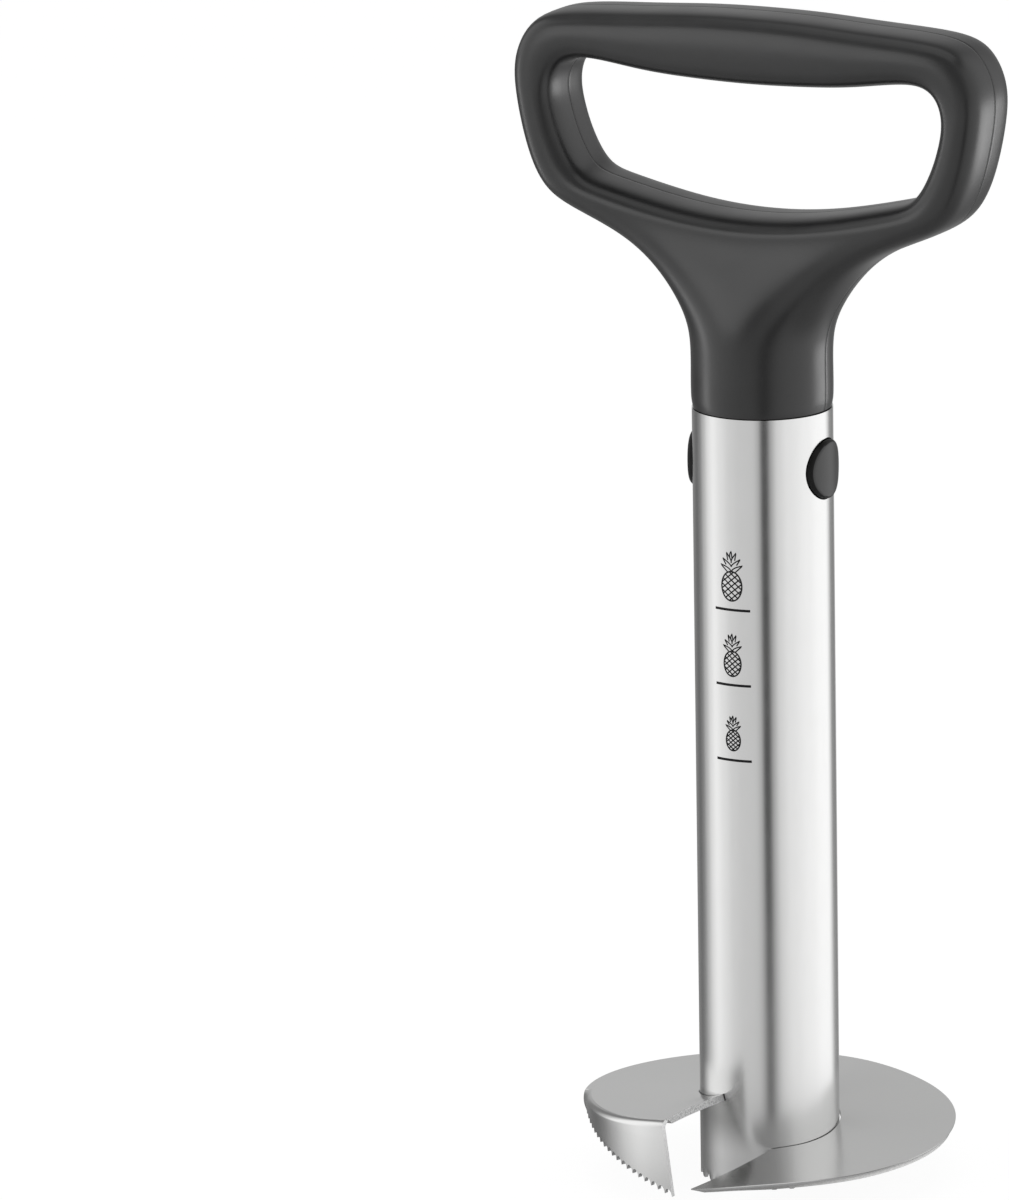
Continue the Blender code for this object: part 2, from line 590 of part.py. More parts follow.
def handle_cage(name, inset, edge, collection):
    """The handle's whole form as a coarse cage: one quarter, mirrored across X and Y, then subdivided."""
    half_thickness = HANDLE_THICKNESS / 2 - inset + edge / 12
    depth = COLLAR_RADIUS - inset
    outer = through(set_in(outer_line(), inset, False), False)
    window = through(set_in(window_line(), -inset, True), True)
    outer_corner = set_in(outer, edge, False)
    window_corner = set_in(window, -edge, True)
    ring_count = len(GRIP_LINE_SHARES)
    builder = bmesh.new()

    def vertex(x, y, z):
        return builder.verts.new((x, y, z))

    ring = []
    for index in range(ring_count):
        far, near = outer[index], window[index]
        far_corner, near_corner = outer_corner[index], window_corner[index]
        ring.append([vertex(far.x, 0, far.y), vertex(far.x, edge - half_thickness, far.y),
                     vertex(far_corner.x, -half_thickness, far_corner.y),
                     vertex(near_corner.x, -half_thickness, near_corner.y),
                     vertex(near.x, edge - half_thickness, near.y), vertex(near.x, 0, near.y)])
    sill = [ring[-1][3:]]
    for index in range(ring_count, len(window)):
        near, near_corner = window[index], window_corner[index]
        sill.append([vertex(near_corner.x, -half_thickness, near_corner.y),
                     vertex(near.x, edge - half_thickness, near.y), vertex(near.x, 0, near.y)])
    neck = []
    for row in range(len(NECK_LINE_SHARES) + 1):
        place = outer[ring_count - 1 + row]
        inward = (outer_corner[ring_count - 1 + row] - place).normalized()
        points = neck_section(place, inward, row, half_thickness, depth, edge)
        start = ring[-1][:3] if row == 0 else []
        neck.append(start + [vertex(*point) for point in points[len(start):]])
    for first, second in zip(ring, ring[1:]):
        for step in range(5):
            builder.faces.new((first[step], first[step + 1], second[step + 1], second[step]))
    for first, second in zip(sill, sill[1:]):
        for step in range(2):
            builder.faces.new((first[step], first[step + 1], second[step + 1], second[step]))
    builder.faces.new((neck[0][2], sill[0][0], sill[1][0], neck[0][3]))
    builder.faces.new((neck[0][3], sill[1][0], sill[2][0], neck[0][4]))
    for first, second in zip(neck, neck[1:]):
        for step in range(4):
            builder.faces.new((first[step], first[step + 1], second[step + 1], second[step]))
    foot = vertex(0, 0, neck[-1][0].co.z)
    builder.faces.new((foot, *neck[-1][2::-1]))
    builder.faces.new((foot, *neck[-1][4:1:-1]))
    bmesh.ops.recalc_face_normals(builder, faces=builder.faces)
    cage = mesh_object(name, builder, collection)
    mirror = cage.modifiers.new("Halves", "MIRROR")
    mirror.use_axis = (True, True, False)
    mirror.merge_threshold = MERGE_DISTANCE
    smooth = cage.modifiers.new("Smooth", "SUBSURF")
    smooth.levels = 1
    smooth.render_levels = 1
    return cage


def handle_place(x_share, z_share):
    """Place in the handle's mid-plane: share of its half width, share of the height above the sill."""
    return HANDLE_HALF_WIDTH * x_share, SILL_HEIGHT + LOOP_HEIGHT * z_share


def make_hollow():
    """Inside of the handle, less the bosses, ribs and clamp ring that stand from its walls."""
    hollow = handle_cage("handle_hollow", HANDLE_WALL, HANDLE_EDGE * HANDLE_INNER_EDGE_SHARE, CUTTERS)
    half = HANDLE_THICKNESS / 2
    bosses = rods("handle_bosses", BOSS_RADIUS,
                  [((x, -half, z), (x, half, z)) for x, z in (handle_place(*place) for place in BOSS_SHARES)])
    combine(hollow, bosses, "DIFFERENCE")
    open_half = half - HANDLE_WALL - RIB_HEIGHT
    low, high = SILL_HEIGHT + WINDOW_HEIGHT, GRIP_TOP + OVERRUN
    ribs = []
    for share in RIB_SHARES:
        x = HANDLE_HALF_WIDTH * share
        for side in (-1, 1):
            near, far = sorted((side * open_half, side * half))
            ribs.append(((x - RIB_THICKNESS / 2, near, low), (x + RIB_THICKNESS / 2, far, high)))
    combine(hollow, boxes("handle_ribs", ribs), "DIFFERENCE")
    clamp = rods("neck_clamp", COLLAR_RADIUS + OVERRUN, [((0, 0, GROOVE_BOTTOM + CLEARANCE),
                                                          (0, 0, GROOVE_TOP - CLEARANCE))], ROUND_STEPS)
    seat = rods("neck_clamp_seat", GROOVE_RADIUS + CLEARANCE, [((0, 0, GROOVE_BOTTOM - OVERRUN),
                                                                (0, 0, GROOVE_TOP + OVERRUN))], ROUND_STEPS)
    across = FLAT_DISTANCE + CLEARANCE
    reach = HEAD_RADIUS + OVERRUN
    seat_flats = boxes("neck_clamp_flats", [((-across, -reach, GROOVE_BOTTOM - 2 * OVERRUN),
                                             (across, reach, GROOVE_TOP + 2 * OVERRUN))])
    combine(seat, seat_flats, "INTERSECT")
    combine(clamp, seat, "DIFFERENCE")
    combine(hollow, clamp, "DIFFERENCE")
    return hollow


def make_shell(name, side, hollow):
    """Half of the handle on one side of the parting plane."""
    shell = handle_cage(name, 0, HANDLE_EDGE, PARTS)
    reach_x, reach_y = HANDLE_HALF_WIDTH + OVERRUN, COLLAR_RADIUS + OVERRUN
    near, far = sorted((side * CLEARANCE / 2, side * reach_y))
    half = boxes(name + "_half", [((-reach_x, near, COLLAR_HEIGHT), (reach_x, far, GRIP_TOP + OVERRUN))])
    combine(shell, half, "INTERSECT")
    combine(shell, hollow, "DIFFERENCE")
    places = [handle_place(*place) for place in BOSS_SHARES]
    if side < 0:
        pins = rods(name + "_pins", PIN_RADIUS, [((x, -BOSS_RADIUS, z), (x, PIN_LENGTH, z)) for x, z in places])
        combine(shell, pins, "UNION")
    else:
        depth = PIN_LENGTH + CLEARANCE
        sockets = rods(name + "_sockets", PIN_RADIUS + CLEARANCE,
                       [((x, -OVERRUN, z), (x, depth, z)) for x, z in places])
        combine(shell, sockets, "DIFFERENCE")
    set_material(shell, name + "_plastic", (0.052, 0.052, 0.056), 0.55, 0)
    return shell


make_tube()
make_blade()
make_core()
make_cap()
for side_name, side_sign in (("left", -1), ("right", 1)):
    make_button("release_button_" + side_name, side_sign)
    make_spring("button_spring_" + side_name, side_sign)
inside = make_hollow()
make_shell("handle_front_shell", -1, inside)
make_shell("handle_rear_shell", 1, inside)

bpy.context.view_layer.update()
for part in PARTS.objects:
    if part.type == "MESH":
        part.data.shade_smooth()
        part.data.set_sharp_from_angle(angle=radians(35))
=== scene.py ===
"""Looks of the pineapple slicer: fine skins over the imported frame, finishes, light and camera.

Metres, +Z up, in the frame's own axes: the origin is on the tube's axis, level with the tips of its teeth,
the buttons press along X, and the front of the handle looks along -Y.
"""
from math import acos, atan2, ceil, cos, hypot, pi, radians, sin, sqrt

import bmesh
import bpy
from mathutils import Matrix, Vector


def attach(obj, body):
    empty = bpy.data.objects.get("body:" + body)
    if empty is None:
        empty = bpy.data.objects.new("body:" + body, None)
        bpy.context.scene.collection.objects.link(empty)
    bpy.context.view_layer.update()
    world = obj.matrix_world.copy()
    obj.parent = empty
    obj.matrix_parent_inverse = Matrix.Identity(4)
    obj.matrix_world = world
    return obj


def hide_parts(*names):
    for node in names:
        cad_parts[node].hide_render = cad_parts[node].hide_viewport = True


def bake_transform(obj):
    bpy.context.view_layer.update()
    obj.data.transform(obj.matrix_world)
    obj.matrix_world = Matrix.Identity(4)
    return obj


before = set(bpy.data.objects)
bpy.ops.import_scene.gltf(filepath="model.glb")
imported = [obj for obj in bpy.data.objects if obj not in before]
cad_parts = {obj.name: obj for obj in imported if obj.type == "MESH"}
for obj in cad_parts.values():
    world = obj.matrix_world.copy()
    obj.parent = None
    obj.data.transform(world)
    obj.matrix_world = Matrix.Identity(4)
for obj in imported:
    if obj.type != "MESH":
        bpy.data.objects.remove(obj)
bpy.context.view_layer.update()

# Camera of the photograph
CAMERA_PLACE = (1.10582, -2.16634, 0.7327)
CAMERA_TURN = radians(28.476)
CAMERA_DROP = radians(13.6956)
CAMERA_ROLL = radians(-0.9403)
CAMERA_LENS = 320.73
CAMERA_SENSOR = 36
CAMERA_CLIP_START = 0.05

# All pieces: room between fitted ones, and the least bend that stays a sharp edge
CLEARANCE = 0.0003
SHARP_ANGLE = radians(38)
MM = 1000.0

# Coring tube
TUBE_RADIUS = 0.0165
TUBE_WALL = 0.0008
TUBE_LENGTH = 0.18585
TUBE_LIP = 0.00012
LIP_MIDDLE_SHARE = 0.3
TUBE_TEETH = 24
TUBE_TOOTH_DEPTH = 0.0015
TUBE_TIP_SHARE = 0.1
TUBE_GULLET_SHARE = 0.4
TUBE_COLUMNS_PER_TOOTH = 16

# Blade
BLADE_RADIUS = 0.044
BLADE_THICKNESS = 0.0012
BLADE_TIP_HEIGHT = 0.00756
BLADE_RISE = 0.01517
BLADE_DISH = 0.0003
BLADE_TIP_ANGLE = radians(-88)
BLADE_ROOT_ANGLE = radians(-62)
BLADE_END_ANGLE = radians(261.5)
BLADE_END_SKEW = radians(-5.5)
BLADE_EDGE_SHARE = 0.15
BLADE_GROUND_WIDTH = 0.003
BLADE_COLUMNS = 240
COLUMN_ROOM_SHARE = 0.002
BLADE_ROWS = 9
BLADE_RIM_BREAK = 0.00014
BLADE_RIM_THICKNESS = 0.00168
BLADE_RIM_START_SHARE = 0.03
BLADE_RIM_FULL_SHARE = 0.078
BLADE_RIM_END_SHARE = 0.8
BLADE_BURR_SHARE = 0.97
BLADE_TORN_START_SHARE = 0.9
BLADE_RISE_SHARES = ((0, 0), (0.07, 0.144), (0.166, 0.204), (0.252, 0.273), (0.335, 0.385), (0.424, 0.477),
                     (0.509, 0.575), (0.667, 0.63), (0.758, 0.69), (0.843, 0.77), (0.933, 0.865), (1, 1))

# Toothed flap
FLAP_DEPTH = 0.018
FLAP_BEND_RADIUS = 0.0018
FLAP_START_SHARE = 0.8285
FLAP_TURNED_SHARE = 0.857
FLAP_TEETH_END_SHARE = 0.998
FLAP_LEAST_BEND_SHARE = 0.02
FLAP_DRAW_IN = 0.0004
FLAP_LEAN = radians(3.6)
FLAP_BEND_STEPS = 8
FLAP_WALL_STEPS = 5
FLAP_TOOTH_PITCH = 0.00207
FLAP_GULLET_RADIUS = 0.00092
FLAP_GULLET_STRETCH = 1.6
FLAP_GULLET_STEPS = 6

# Push buttons
BUTTON_RADIUS = 0.007
BUTTON_DROP = 0.01355
BUTTON_STAND = 0.0013
BUTTON_ROUND = 0.001
BUTTON_CRISPNESS = 0.9
BUTTON_POCKET_RADIUS = 0.0042
BUTTON_POCKET_FLOOR = 0.01301
BUTTON_SKIN_END_SHARE = 0.9
BUTTON_FACE_LEAST_DOT = 0.9
BUTTON_BACK = 0.00801
BUTTON_FLANGE_HALF = 0.0084
BUTTON_FLANGE_RADIUS = 0.0133

# Springs behind the buttons
SPRING_RADIUS = 0.0032
SPRING_WIRE_RADIUS = 0.00035
SPRING_START = 0.00165
SPRING_END = 0.01236
SPRING_TURNS = 6

# Handle
HANDLE_HALF_WIDTH = 0.0605
HANDLE_THICKNESS = 0.021
HANDLE_WALL = 0.0023
HANDLE_EDGE = 0.0028
GRIP_DEPTH = 0.0165
SIDE_DEPTH = 0.0106
WINDOW_HEIGHT = 0.0309
NECK_HEIGHT = 0.04585
COLLAR_STEP = 0.00015
COLLAR_ROUND_HEIGHT = 0.0028
COLLAR_ROUND_DEPTH = 0.00028
COLLAR_ROUND_SHARES = (0.04, 0.1, 0.2, 0.4, 0.7, 1)
COLLAR_SEAT = 0.00012
PARTING_GAP = 0.00006
PARTING_ROUND = 0.00006
CAGE_PASSES = 40
SMOOTH_LEVELS = 3
NECK_STEPS = 4
GRIP_LINE_SHARES = ((0, 1), (0.247, 0.994), (0.495, 0.976), (0.758, 0.955), (0.917, 0.888), (0.994, 0.719),
                    (0.995, 0.506), (0.949, 0.252), (0.872, 0.063), (0.745, -0.043))
NECK_LINE_SHARES = ((0.608, 0.886), (0.293, 0.726), (0.068, 0.51), (0, 0.316), (0, 0.11), (-0.016, -0.072),
                    (-0.044, -0.254))
NECK_ROUND_SHARES = (0, 0.1, 0.48, 0.93, 1, 1, 1, 1)
NECK_DIP_SHARES = (0.137, 0.114, 0.08, 0.02, 0, 0, 0, 0)
WINDOW_LINE_SHARES = ((0, 1), (0.281, 1.011), (0.561, 1.045), (0.832, 1.096), (0.964, 1.026), (1, 0.851),
                      (0.982, 0.657), (0.94, 0.46), (0.86, 0.256), (0.701, 0.157), (0.361, 0.045), (0, 0))

# Depth marks on the front of the tube: height of the line, bottom, top and width of the pictogram
MARKS = ((0.1404, 0.14255, 0.15445, 0.0061), (0.12235, 0.12445, 0.13465, 0.00515),
         (0.10425, 0.10655, 0.11495, 0.0043))
MARK_ANGLE = radians(-90.6)
MARK_LINE_LENGTH = 0.0092
MARK_LINE_WIDTH = 0.0006
MARK_STROKE = 0.00034
MARK_STAND = 0.00002
MARK_STEPS = 24
# Its strokes as shares of the largest sign's, and the share that doesn't shrink with the sign
OVAL_STROKE_SHARE = 1.1
LATTICE_STROKE_SHARE = 0.92
LEAF_STROKE_SHARE = 0.9
SMALL_STROKE_SHARE = 0.72
# Oval: its half width and half height as shares of the sign's width and height
OVAL_WIDTH_SHARE = 0.43
OVAL_HEIGHT_SHARE = 0.295
# Lattice and crown's start, by the oval's half height. The lattice ends where it leaves a share of the oval
LATTICE_SHARES = (-1.26, -0.84, -0.42, 0, 0.42, 0.84, 1.26)
LATTICE_STEEPNESS = 0.62
LATTICE_REACH = 0.98
LATTICE_STEPS = 30
CROWN_START_SHARE = 1.96
LEAF_BOW_SHARE = 0.5
LEAF_STEPS = 6
# Crown, as shares of its height: where a leaf's inner side starts, its tip, and where its outer side ends
LEAF_SHARES = (((-0.05, 0.64), (0, 1), (0.05, 0.64)), ((0, 0.44), (0.25, 0.93), (0.18, 0.56)),
               ((0, 0.25), (0.46, 0.64), (0.27, 0.34)), ((0, 0.04), (0.57, 0.34), (0.2, 0)))

# Shade on the tube under the blade's trailing end: the way to its right, the millimetres over which it sets
# in and fades (up, across and toward its front), and the steel's colour there
SHADE_ANGLE = radians(28.5)
SHADE_FOOT = (7.0, 17.0)
SHADE_TOP = (21.0, 22.5)
SHADE_LEFT = (-16.5, -13.0)
SHADE_LEFT_SHARE = 0.35
SHADE_RIGHT = (-2.4, 0.4)
SHADE_RIGHT_SLANT = 0.4
SHADE_FRONT = (-6.0, -1.0)
SHADED_STEEL = (0.37, 0.37, 0.365)

# Finishes: where a noise changes tones and roughness, and for each the noise's scale, detail and roughness,
# how far it is stretched, how much it counts beside the clouds, and how deep it goes
NOISE_RANGE = (0.3, 0.7)
TUBE_TONES = ((0.825, 0.825, 0.82), (0.85, 0.85, 0.847))
TUBE_ROUGHNESS = (0.155, 0.18)
TUBE_DULL_FOOT = 0.07
TUBE_DULL_HEIGHTS = (25.0, 105.0)
TUBE_STREAKS = (9.0, 5.0, 0.6)
TUBE_STREAK_STRETCH = 0.03
TUBE_STREAK_SHARE = 0.5
TUBE_STREAK_DEPTH = 0.0000006
TUBE_CLOUDS = (0.35, 3.0)
TUBE_CLOUD_STRETCH = 0.35
BLADE_TONES = ((0.755, 0.755, 0.75), (0.775, 0.775, 0.77))
BLADE_ROUGHNESS = (0.2, 0.22)
BLADE_GRAIN = (2.6, 5.0, 0.6)
BLADE_GRAIN_STRETCH = 0.06
BLADE_GRAIN_SHARE = 0.6
BLADE_GRAIN_DEPTH = 0.00000012
BLADE_CLOUDS = (0.07, 3.0)
EDGE_RANGE = (0.38, 0.6)
EDGE_DETAIL = (5.0, 0.65)
EDGE_ROUGHNESS_SPREAD = 0.08
PLASTIC_CLOUDS = (0.11, 4.0)
PLASTIC_DETAIL = (3.0, 0.6)
PLASTIC_TONE_SHARES = (0.9, 1.1)
PLASTIC_ROUGHNESS_SPREAD = 0.04

# Values that follow from those above
BUTTON_HEIGHT = TUBE_LENGTH - BUTTON_DROP
BUTTON_FACE = TUBE_RADIUS + BUTTON_STAND
COLLAR_HEIGHT = TUBE_LENGTH + CLEARANCE
COLLAR_RADIUS = TUBE_RADIUS + COLLAR_STEP
SILL_HEIGHT = COLLAR_HEIGHT + NECK_HEIGHT
LOOP_HEIGHT = WINDOW_HEIGHT + GRIP_DEPTH
WINDOW_HALF_WIDTH = HANDLE_HALF_WIDTH - SIDE_DEPTH
BLADE_BORE = TUBE_RADIUS + CLEARANCE
BLADE_TURN = BLADE_END_ANGLE - BLADE_TIP_ANGLE
FLAP_STEPS = FLAP_BEND_STEPS + FLAP_WALL_STEPS
SHEET_SHARE = BLADE_THICKNESS / BLADE_RIM_THICKNESS
MERGE_DISTANCE = 0.02 * CLEARANCE


# Helpers

def link(name, data):
    """Put a mesh, a lamp or a camera in the scene."""
    item = bpy.data.objects.new(name, data)
    bpy.context.scene.collection.objects.link(item)
    return item


def mesh_object(name, builder, outward=False):
    """Make an object from a bmesh, its faces turned outward where asked, and free the bmesh."""
    if outward:
        bmesh.ops.recalc_face_normals(builder, faces=builder.faces)
    mesh = bpy.data.meshes.new(name)
    builder.to_mesh(mesh)
    builder.free()
    return link(name, mesh)


def polar(radius, angle, height=0):
    """Point at a radius and an angle about the tube's axis."""
    return Vector((radius * cos(angle), radius * sin(angle), height))


def strips(builder, rows, closed=False):
    """Faces between each row of points and the next, round to each row's first point where closed."""
    for first, second in zip(rows, rows[1:]):
        count = min(len(first), len(second))
        for near in range(count if closed else count - 1):
            far = (near + 1) % count
            builder.faces.new((first[near], first[far], second[far], second[near]))


def modified(item, kind, **settings):
    """Give an object the mesh that a modifier makes."""
    modifier = item.modifiers.new(kind, kind)
    for key, value in settings.items():
        setattr(modifier, key, value)
    bpy.context.view_layer.update()
    mesh = bpy.data.meshes.new_from_object(item.evaluated_get(bpy.context.evaluated_depsgraph_get()))
    item.modifiers.clear()
    item.data = mesh


def cut_by(item, cutter, operation="DIFFERENCE"):
    """Cut, join or intersect an object with another, which is then removed."""
    modified(item, "BOOLEAN", operation=operation, solver="EXACT", object=cutter)
    bpy.data.objects.remove(cutter, do_unlink=True)


def rod(radius, start, end, sides=96):
    """Round rod between two points, as a cutter."""
    start, end = Vector(start), Vector(end)
    builder = bmesh.new()
    turn = (end - start).to_track_quat("Z", "Y").to_matrix().to_4x4()
    bmesh.ops.create_cone(builder, cap_ends=True, segments=sides, radius1=radius, radius2=radius,
                          depth=(end - start).length, matrix=Matrix.Translation((start + end) / 2) @ turn)
    return mesh_object("cutter", builder)


def block(low, high):
    """Box between two corners, as a cutter."""
    low, high = Vector(low), Vector(high)
    builder = bmesh.new()
    size = Matrix.Diagonal((high - low).to_4d())
    bmesh.ops.create_cube(builder, size=1, matrix=Matrix.Translation((low + high) / 2) @ size)
    return mesh_object("cutter", builder)


def dress(item, *materials):
    """Shade a piece smooth and give it its materials."""
    item.data.shade_smooth()
    item.data.set_sharp_from_angle(angle=SHARP_ANGLE)
    item.data.materials.clear()
    for material in materials:
        item.data.materials.append(material)


def finish_mesh(item, body, nodes, slot, *materials):
    """Dress a piece, hang it on its body's empty and hide the imported parts that it stands in for."""
    dress(item, *materials)
    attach(item, body)
    if nodes:
        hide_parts(*nodes)
    return item


def blend(table, share):
    """Read a table of (place, value) pairs along a smooth line that keeps the table's rise."""
    for index in range(len(table) - 1):
        start, end = table[index], table[index + 1]
        if share <= end[0] or index == len(table) - 2:
            break
    before = table[max(index - 1, 0)]
    after = table[min(index + 2, len(table) - 1)]
    width = end[0] - start[0]
    slope_in = (end[1] - before[1]) / (end[0] - before[0]) * width
    slope_out = (after[1] - start[1]) / (after[0] - start[0]) * width
    t = (share - start[0]) / width
    return ((2 * t ** 3 - 3 * t ** 2 + 1) * start[1] + (t ** 3 - 2 * t ** 2 + t) * slope_in
            + (3 * t ** 2 - 2 * t ** 3) * end[1] + (t ** 3 - t ** 2) * slope_out)


def smooth_step(share):
    """Soft way from 0 to 1."""
    share = min(max(share, 0), 1)
    return share * share * (3 - 2 * share)


# Node materials

class Nodes:
    """A material's or world's node tree, built with short calls."""

    def __init__(self, tree):
        self.tree = tree

    def put(self, node, values):
        """Set or link a node's inputs by name or number."""
        for key, value in values.items():
            if isinstance(value, bpy.types.NodeSocket):
                self.tree.links.new(value, node.inputs[key])
            else:
                node.inputs[key].default_value = value
        return node

    def add(self, kind, values=None, **settings):
        """Add a shader node, set its properties, and set or link its inputs."""
        node = self.tree.nodes.new("ShaderNode" + kind)
        for key, value in settings.items():
            setattr(node, key, value)
        return self.put(node, values or {})

    def place(self):
        """Place on the object, in millimetres."""
        return self.vector("SCALE", {0: self.add("TexCoord").outputs["Object"], "Scale": MM})

    def vector(self, operation, values):
        """Vector of one step of vector arithmetic."""
        return self.add("VectorMath", values, operation=operation).outputs["Vector"]

    def along(self, place, direction):
        """How far a place lies in a direction."""
        return self.add("VectorMath", {0: place, 1: direction}, operation="DOT_PRODUCT").outputs["Value"]

    def math(self, operation, first, second):
        """Value of one arithmetic step."""
        return self.add("Math", {0: first, 1: second}, operation=operation).outputs[0]

    def shared(self, first, second, share):
        """Sum of a share of one value and the rest of another."""
        return self.math("ADD", self.math("MULTIPLY", first, share), self.math("MULTIPLY", second, 1 - share))

    def ranged(self, value, low, high, to_low=0, to_high=1):
        """Value moved softly from one range to another."""
        values = {"Value": value, "From Min": low, "From Max": high, "To Min": to_low, "To Max": to_high}
        return self.add("MapRange", values, interpolation_type="SMOOTHSTEP").outputs["Result"]

    def noise(self, vector, scale, detail, roughness=0.55):
        """Noise value at a vector."""
        values = {"Vector": vector, "Scale": scale, "Detail": detail, "Roughness": roughness}
        return self.add("TexNoise", values).outputs["Fac"]

    def mix(self, factor, first, second):
        """Colour between two."""
        node = self.add("Mix", {"Factor": factor}, data_type="RGBA")
        for key, color in ((6, first), (7, second)):
            self.put(node, {key: color if isinstance(color, bpy.types.NodeSocket) else (*color, 1)})
        return node.outputs[2]

    def bump(self, height, distance):
        """Normal bent by a height value."""
        return self.add("Bump", {"Height": height, "Distance": distance}).outputs["Normal"]


def new_material(name):
    """A material with a Principled shader, and its node builder."""
    material = bpy.data.materials.new(name)
    material.use_nodes = True
    shader = material.node_tree.nodes["Principled BSDF"]
    return material, shader, Nodes(material.node_tree)


def blade_shade(nodes, height):
    """How deep a place on the tube, at a height in mm, lies in the shade under the blade's trailing end."""
    place = nodes.place()
    across = nodes.along(place, (cos(SHADE_ANGLE), sin(SHADE_ANGLE), 0))
    toward = nodes.along(place, (sin(SHADE_ANGLE), -cos(SHADE_ANGLE), 0))
    slanted = nodes.math("ADD", across, nodes.math("MULTIPLY", height, SHADE_RIGHT_SLANT))
    shade = nodes.ranged(height, *SHADE_FOOT)
    for part in (nodes.ranged(height, *SHADE_TOP, 1, 0), nodes.ranged(slanted, *SHADE_RIGHT, 1, 0),
                 nodes.ranged(across, *SHADE_LEFT, SHADE_LEFT_SHARE, 1), nodes.ranged(toward, *SHADE_FRONT)):
        shade = nodes.math("MULTIPLY", shade, part)
    return shade


def tube_material():
    """Steel tube, polished along its length: fine streaks that run with the axis, duller near its foot."""
    material, shader, nodes = new_material("tube_steel_polished")
    split = nodes.add("SeparateXYZ", {0: nodes.place()}).outputs
    height = split[2]
    along = nodes.math("MULTIPLY", nodes.math("ARCTAN2", split[1], split[0]), MM * TUBE_RADIUS)
    streak_place, cloud_place = (
        nodes.add("CombineXYZ", {0: along, 2: nodes.math("MULTIPLY", height, stretch)}).outputs[0]
        for stretch in (TUBE_STREAK_STRETCH, TUBE_CLOUD_STRETCH))
    streaks = nodes.noise(streak_place, *TUBE_STREAKS)
    tone = nodes.shared(streaks, nodes.noise(cloud_place, *TUBE_CLOUDS), TUBE_STREAK_SHARE)
    steel = nodes.mix(nodes.ranged(tone, *NOISE_RANGE), *TUBE_TONES)
    nodes.put(shader, {
        "Metallic": 1.0,
        "Base Color": nodes.mix(blade_shade(nodes, height), steel, SHADED_STEEL),
        "Roughness": nodes.math("ADD", nodes.ranged(tone, *NOISE_RANGE, *TUBE_ROUGHNESS),
                                nodes.ranged(height, *TUBE_DULL_HEIGHTS, TUBE_DULL_FOOT, 0)),
        "Normal": nodes.bump(streaks, TUBE_STREAK_DEPTH),
    })
    return material


def blade_material():
    """Rolled sheet: soft satin with faint lines from the rolling and light clouds."""
    material, shader, nodes = new_material("blade_steel_satin")
    place = nodes.place()
    grain = nodes.noise(nodes.vector("MULTIPLY", {0: place, 1: (1, BLADE_GRAIN_STRETCH, 1)}), *BLADE_GRAIN)
    tone = nodes.shared(grain, nodes.noise(place, *BLADE_CLOUDS), BLADE_GRAIN_SHARE)
    nodes.put(shader, {
        "Metallic": 1.0,
        "Base Color": nodes.mix(nodes.ranged(tone, *NOISE_RANGE), *BLADE_TONES),
        "Roughness": nodes.ranged(tone, *NOISE_RANGE, *BLADE_ROUGHNESS),
        "Normal": nodes.bump(grain, BLADE_GRAIN_DEPTH),
    })
    return material


def grain_material(name, tones, roughness, noise, depth, tone_range=NOISE_RANGE, **inputs):
    """Surface of one grain: its tones, roughnesses, noise and depth, and other inputs by name."""
    material, shader, nodes = new_material(name)
    grain = nodes.noise(nodes.place(), *noise)
    nodes.put(shader, {
        "Base Color": nodes.mix(nodes.ranged(grain, *tone_range), *tones),
        "Roughness": nodes.ranged(grain, *NOISE_RANGE, *roughness),
        "Normal": nodes.bump(grain, depth),
        **inputs,
    })
    return material


def edge_material(name, dark, light, roughness, torn_scale, torn_depth, metallic=1.0):
    """Edge face of the sheet: how dark and light its specks are, and how deep they go."""
    return grain_material(name, ((dark,) * 3, (light,) * 3), (roughness + EDGE_ROUGHNESS_SPREAD, roughness),
                          (torn_scale, *EDGE_DETAIL), torn_depth, EDGE_RANGE, Metallic=metallic)


def plastic_material(name, color, roughness, grain_scale=3.2, grain_depth=0.000003, index=1.6):
    """Moulded plastic: fine spark texture and faint flow clouds."""
    material, shader, nodes = new_material(name)
    place = nodes.place()
    clouds = nodes.noise(place, *PLASTIC_CLOUDS)
    tones = [tuple(share * part for part in color) for share in PLASTIC_TONE_SHARES]
    half = PLASTIC_ROUGHNESS_SPREAD / 2
    nodes.put(shader, {
        "Base Color": nodes.mix(nodes.ranged(clouds, *NOISE_RANGE), *tones),
        "Roughness": nodes.ranged(clouds, *NOISE_RANGE, roughness - half, roughness + half),
        "IOR": index,
        "Normal": nodes.bump(nodes.noise(place, grain_scale, *PLASTIC_DETAIL), grain_depth),
    })
    return material


TUBE_STEEL = tube_material()
BLADE_STEEL = blade_material()
TORN_STEEL = edge_material("blade_steel_torn_edge", 0.6, 1.0, 0.45, 2.6, 0.00005, 0.5)
RIM_STEEL = edge_material("blade_steel_rim", 0.92, 1.0, 0.28, 2.0, 0.000004)
PUNCHED_STEEL = edge_material("blade_steel_punched_edge", 0.36, 0.62, 0.45, 3.0, 0.00002)
FLAP_END_STEEL = edge_material("blade_steel_flap_end", 0.78, 0.92, 0.35, 2.0, 0.000004)
HANDLE_PLASTIC = plastic_material("handle_plastic_satin", (0.024, 0.024, 0.0245), 0.3)
BUTTON_PLASTIC = plastic_material("button_plastic_satin", (0.03, 0.03, 0.0305), 0.3)
# The button's side wall: a darker, less glossy copy of its plastic, painted shade where the wall stands in
# the tube's hole
BUTTON_WALL_PAINTED_SHADE = plastic_material("button_plastic_wall_painted_shade", (0.008, 0.008, 0.008), 0.45, index=1.35)
LATCH_PLASTIC = plastic_material("latch_plastic_plain", (0.03, 0.03, 0.032), 0.45, 2.4, 0.00001, 1.5)
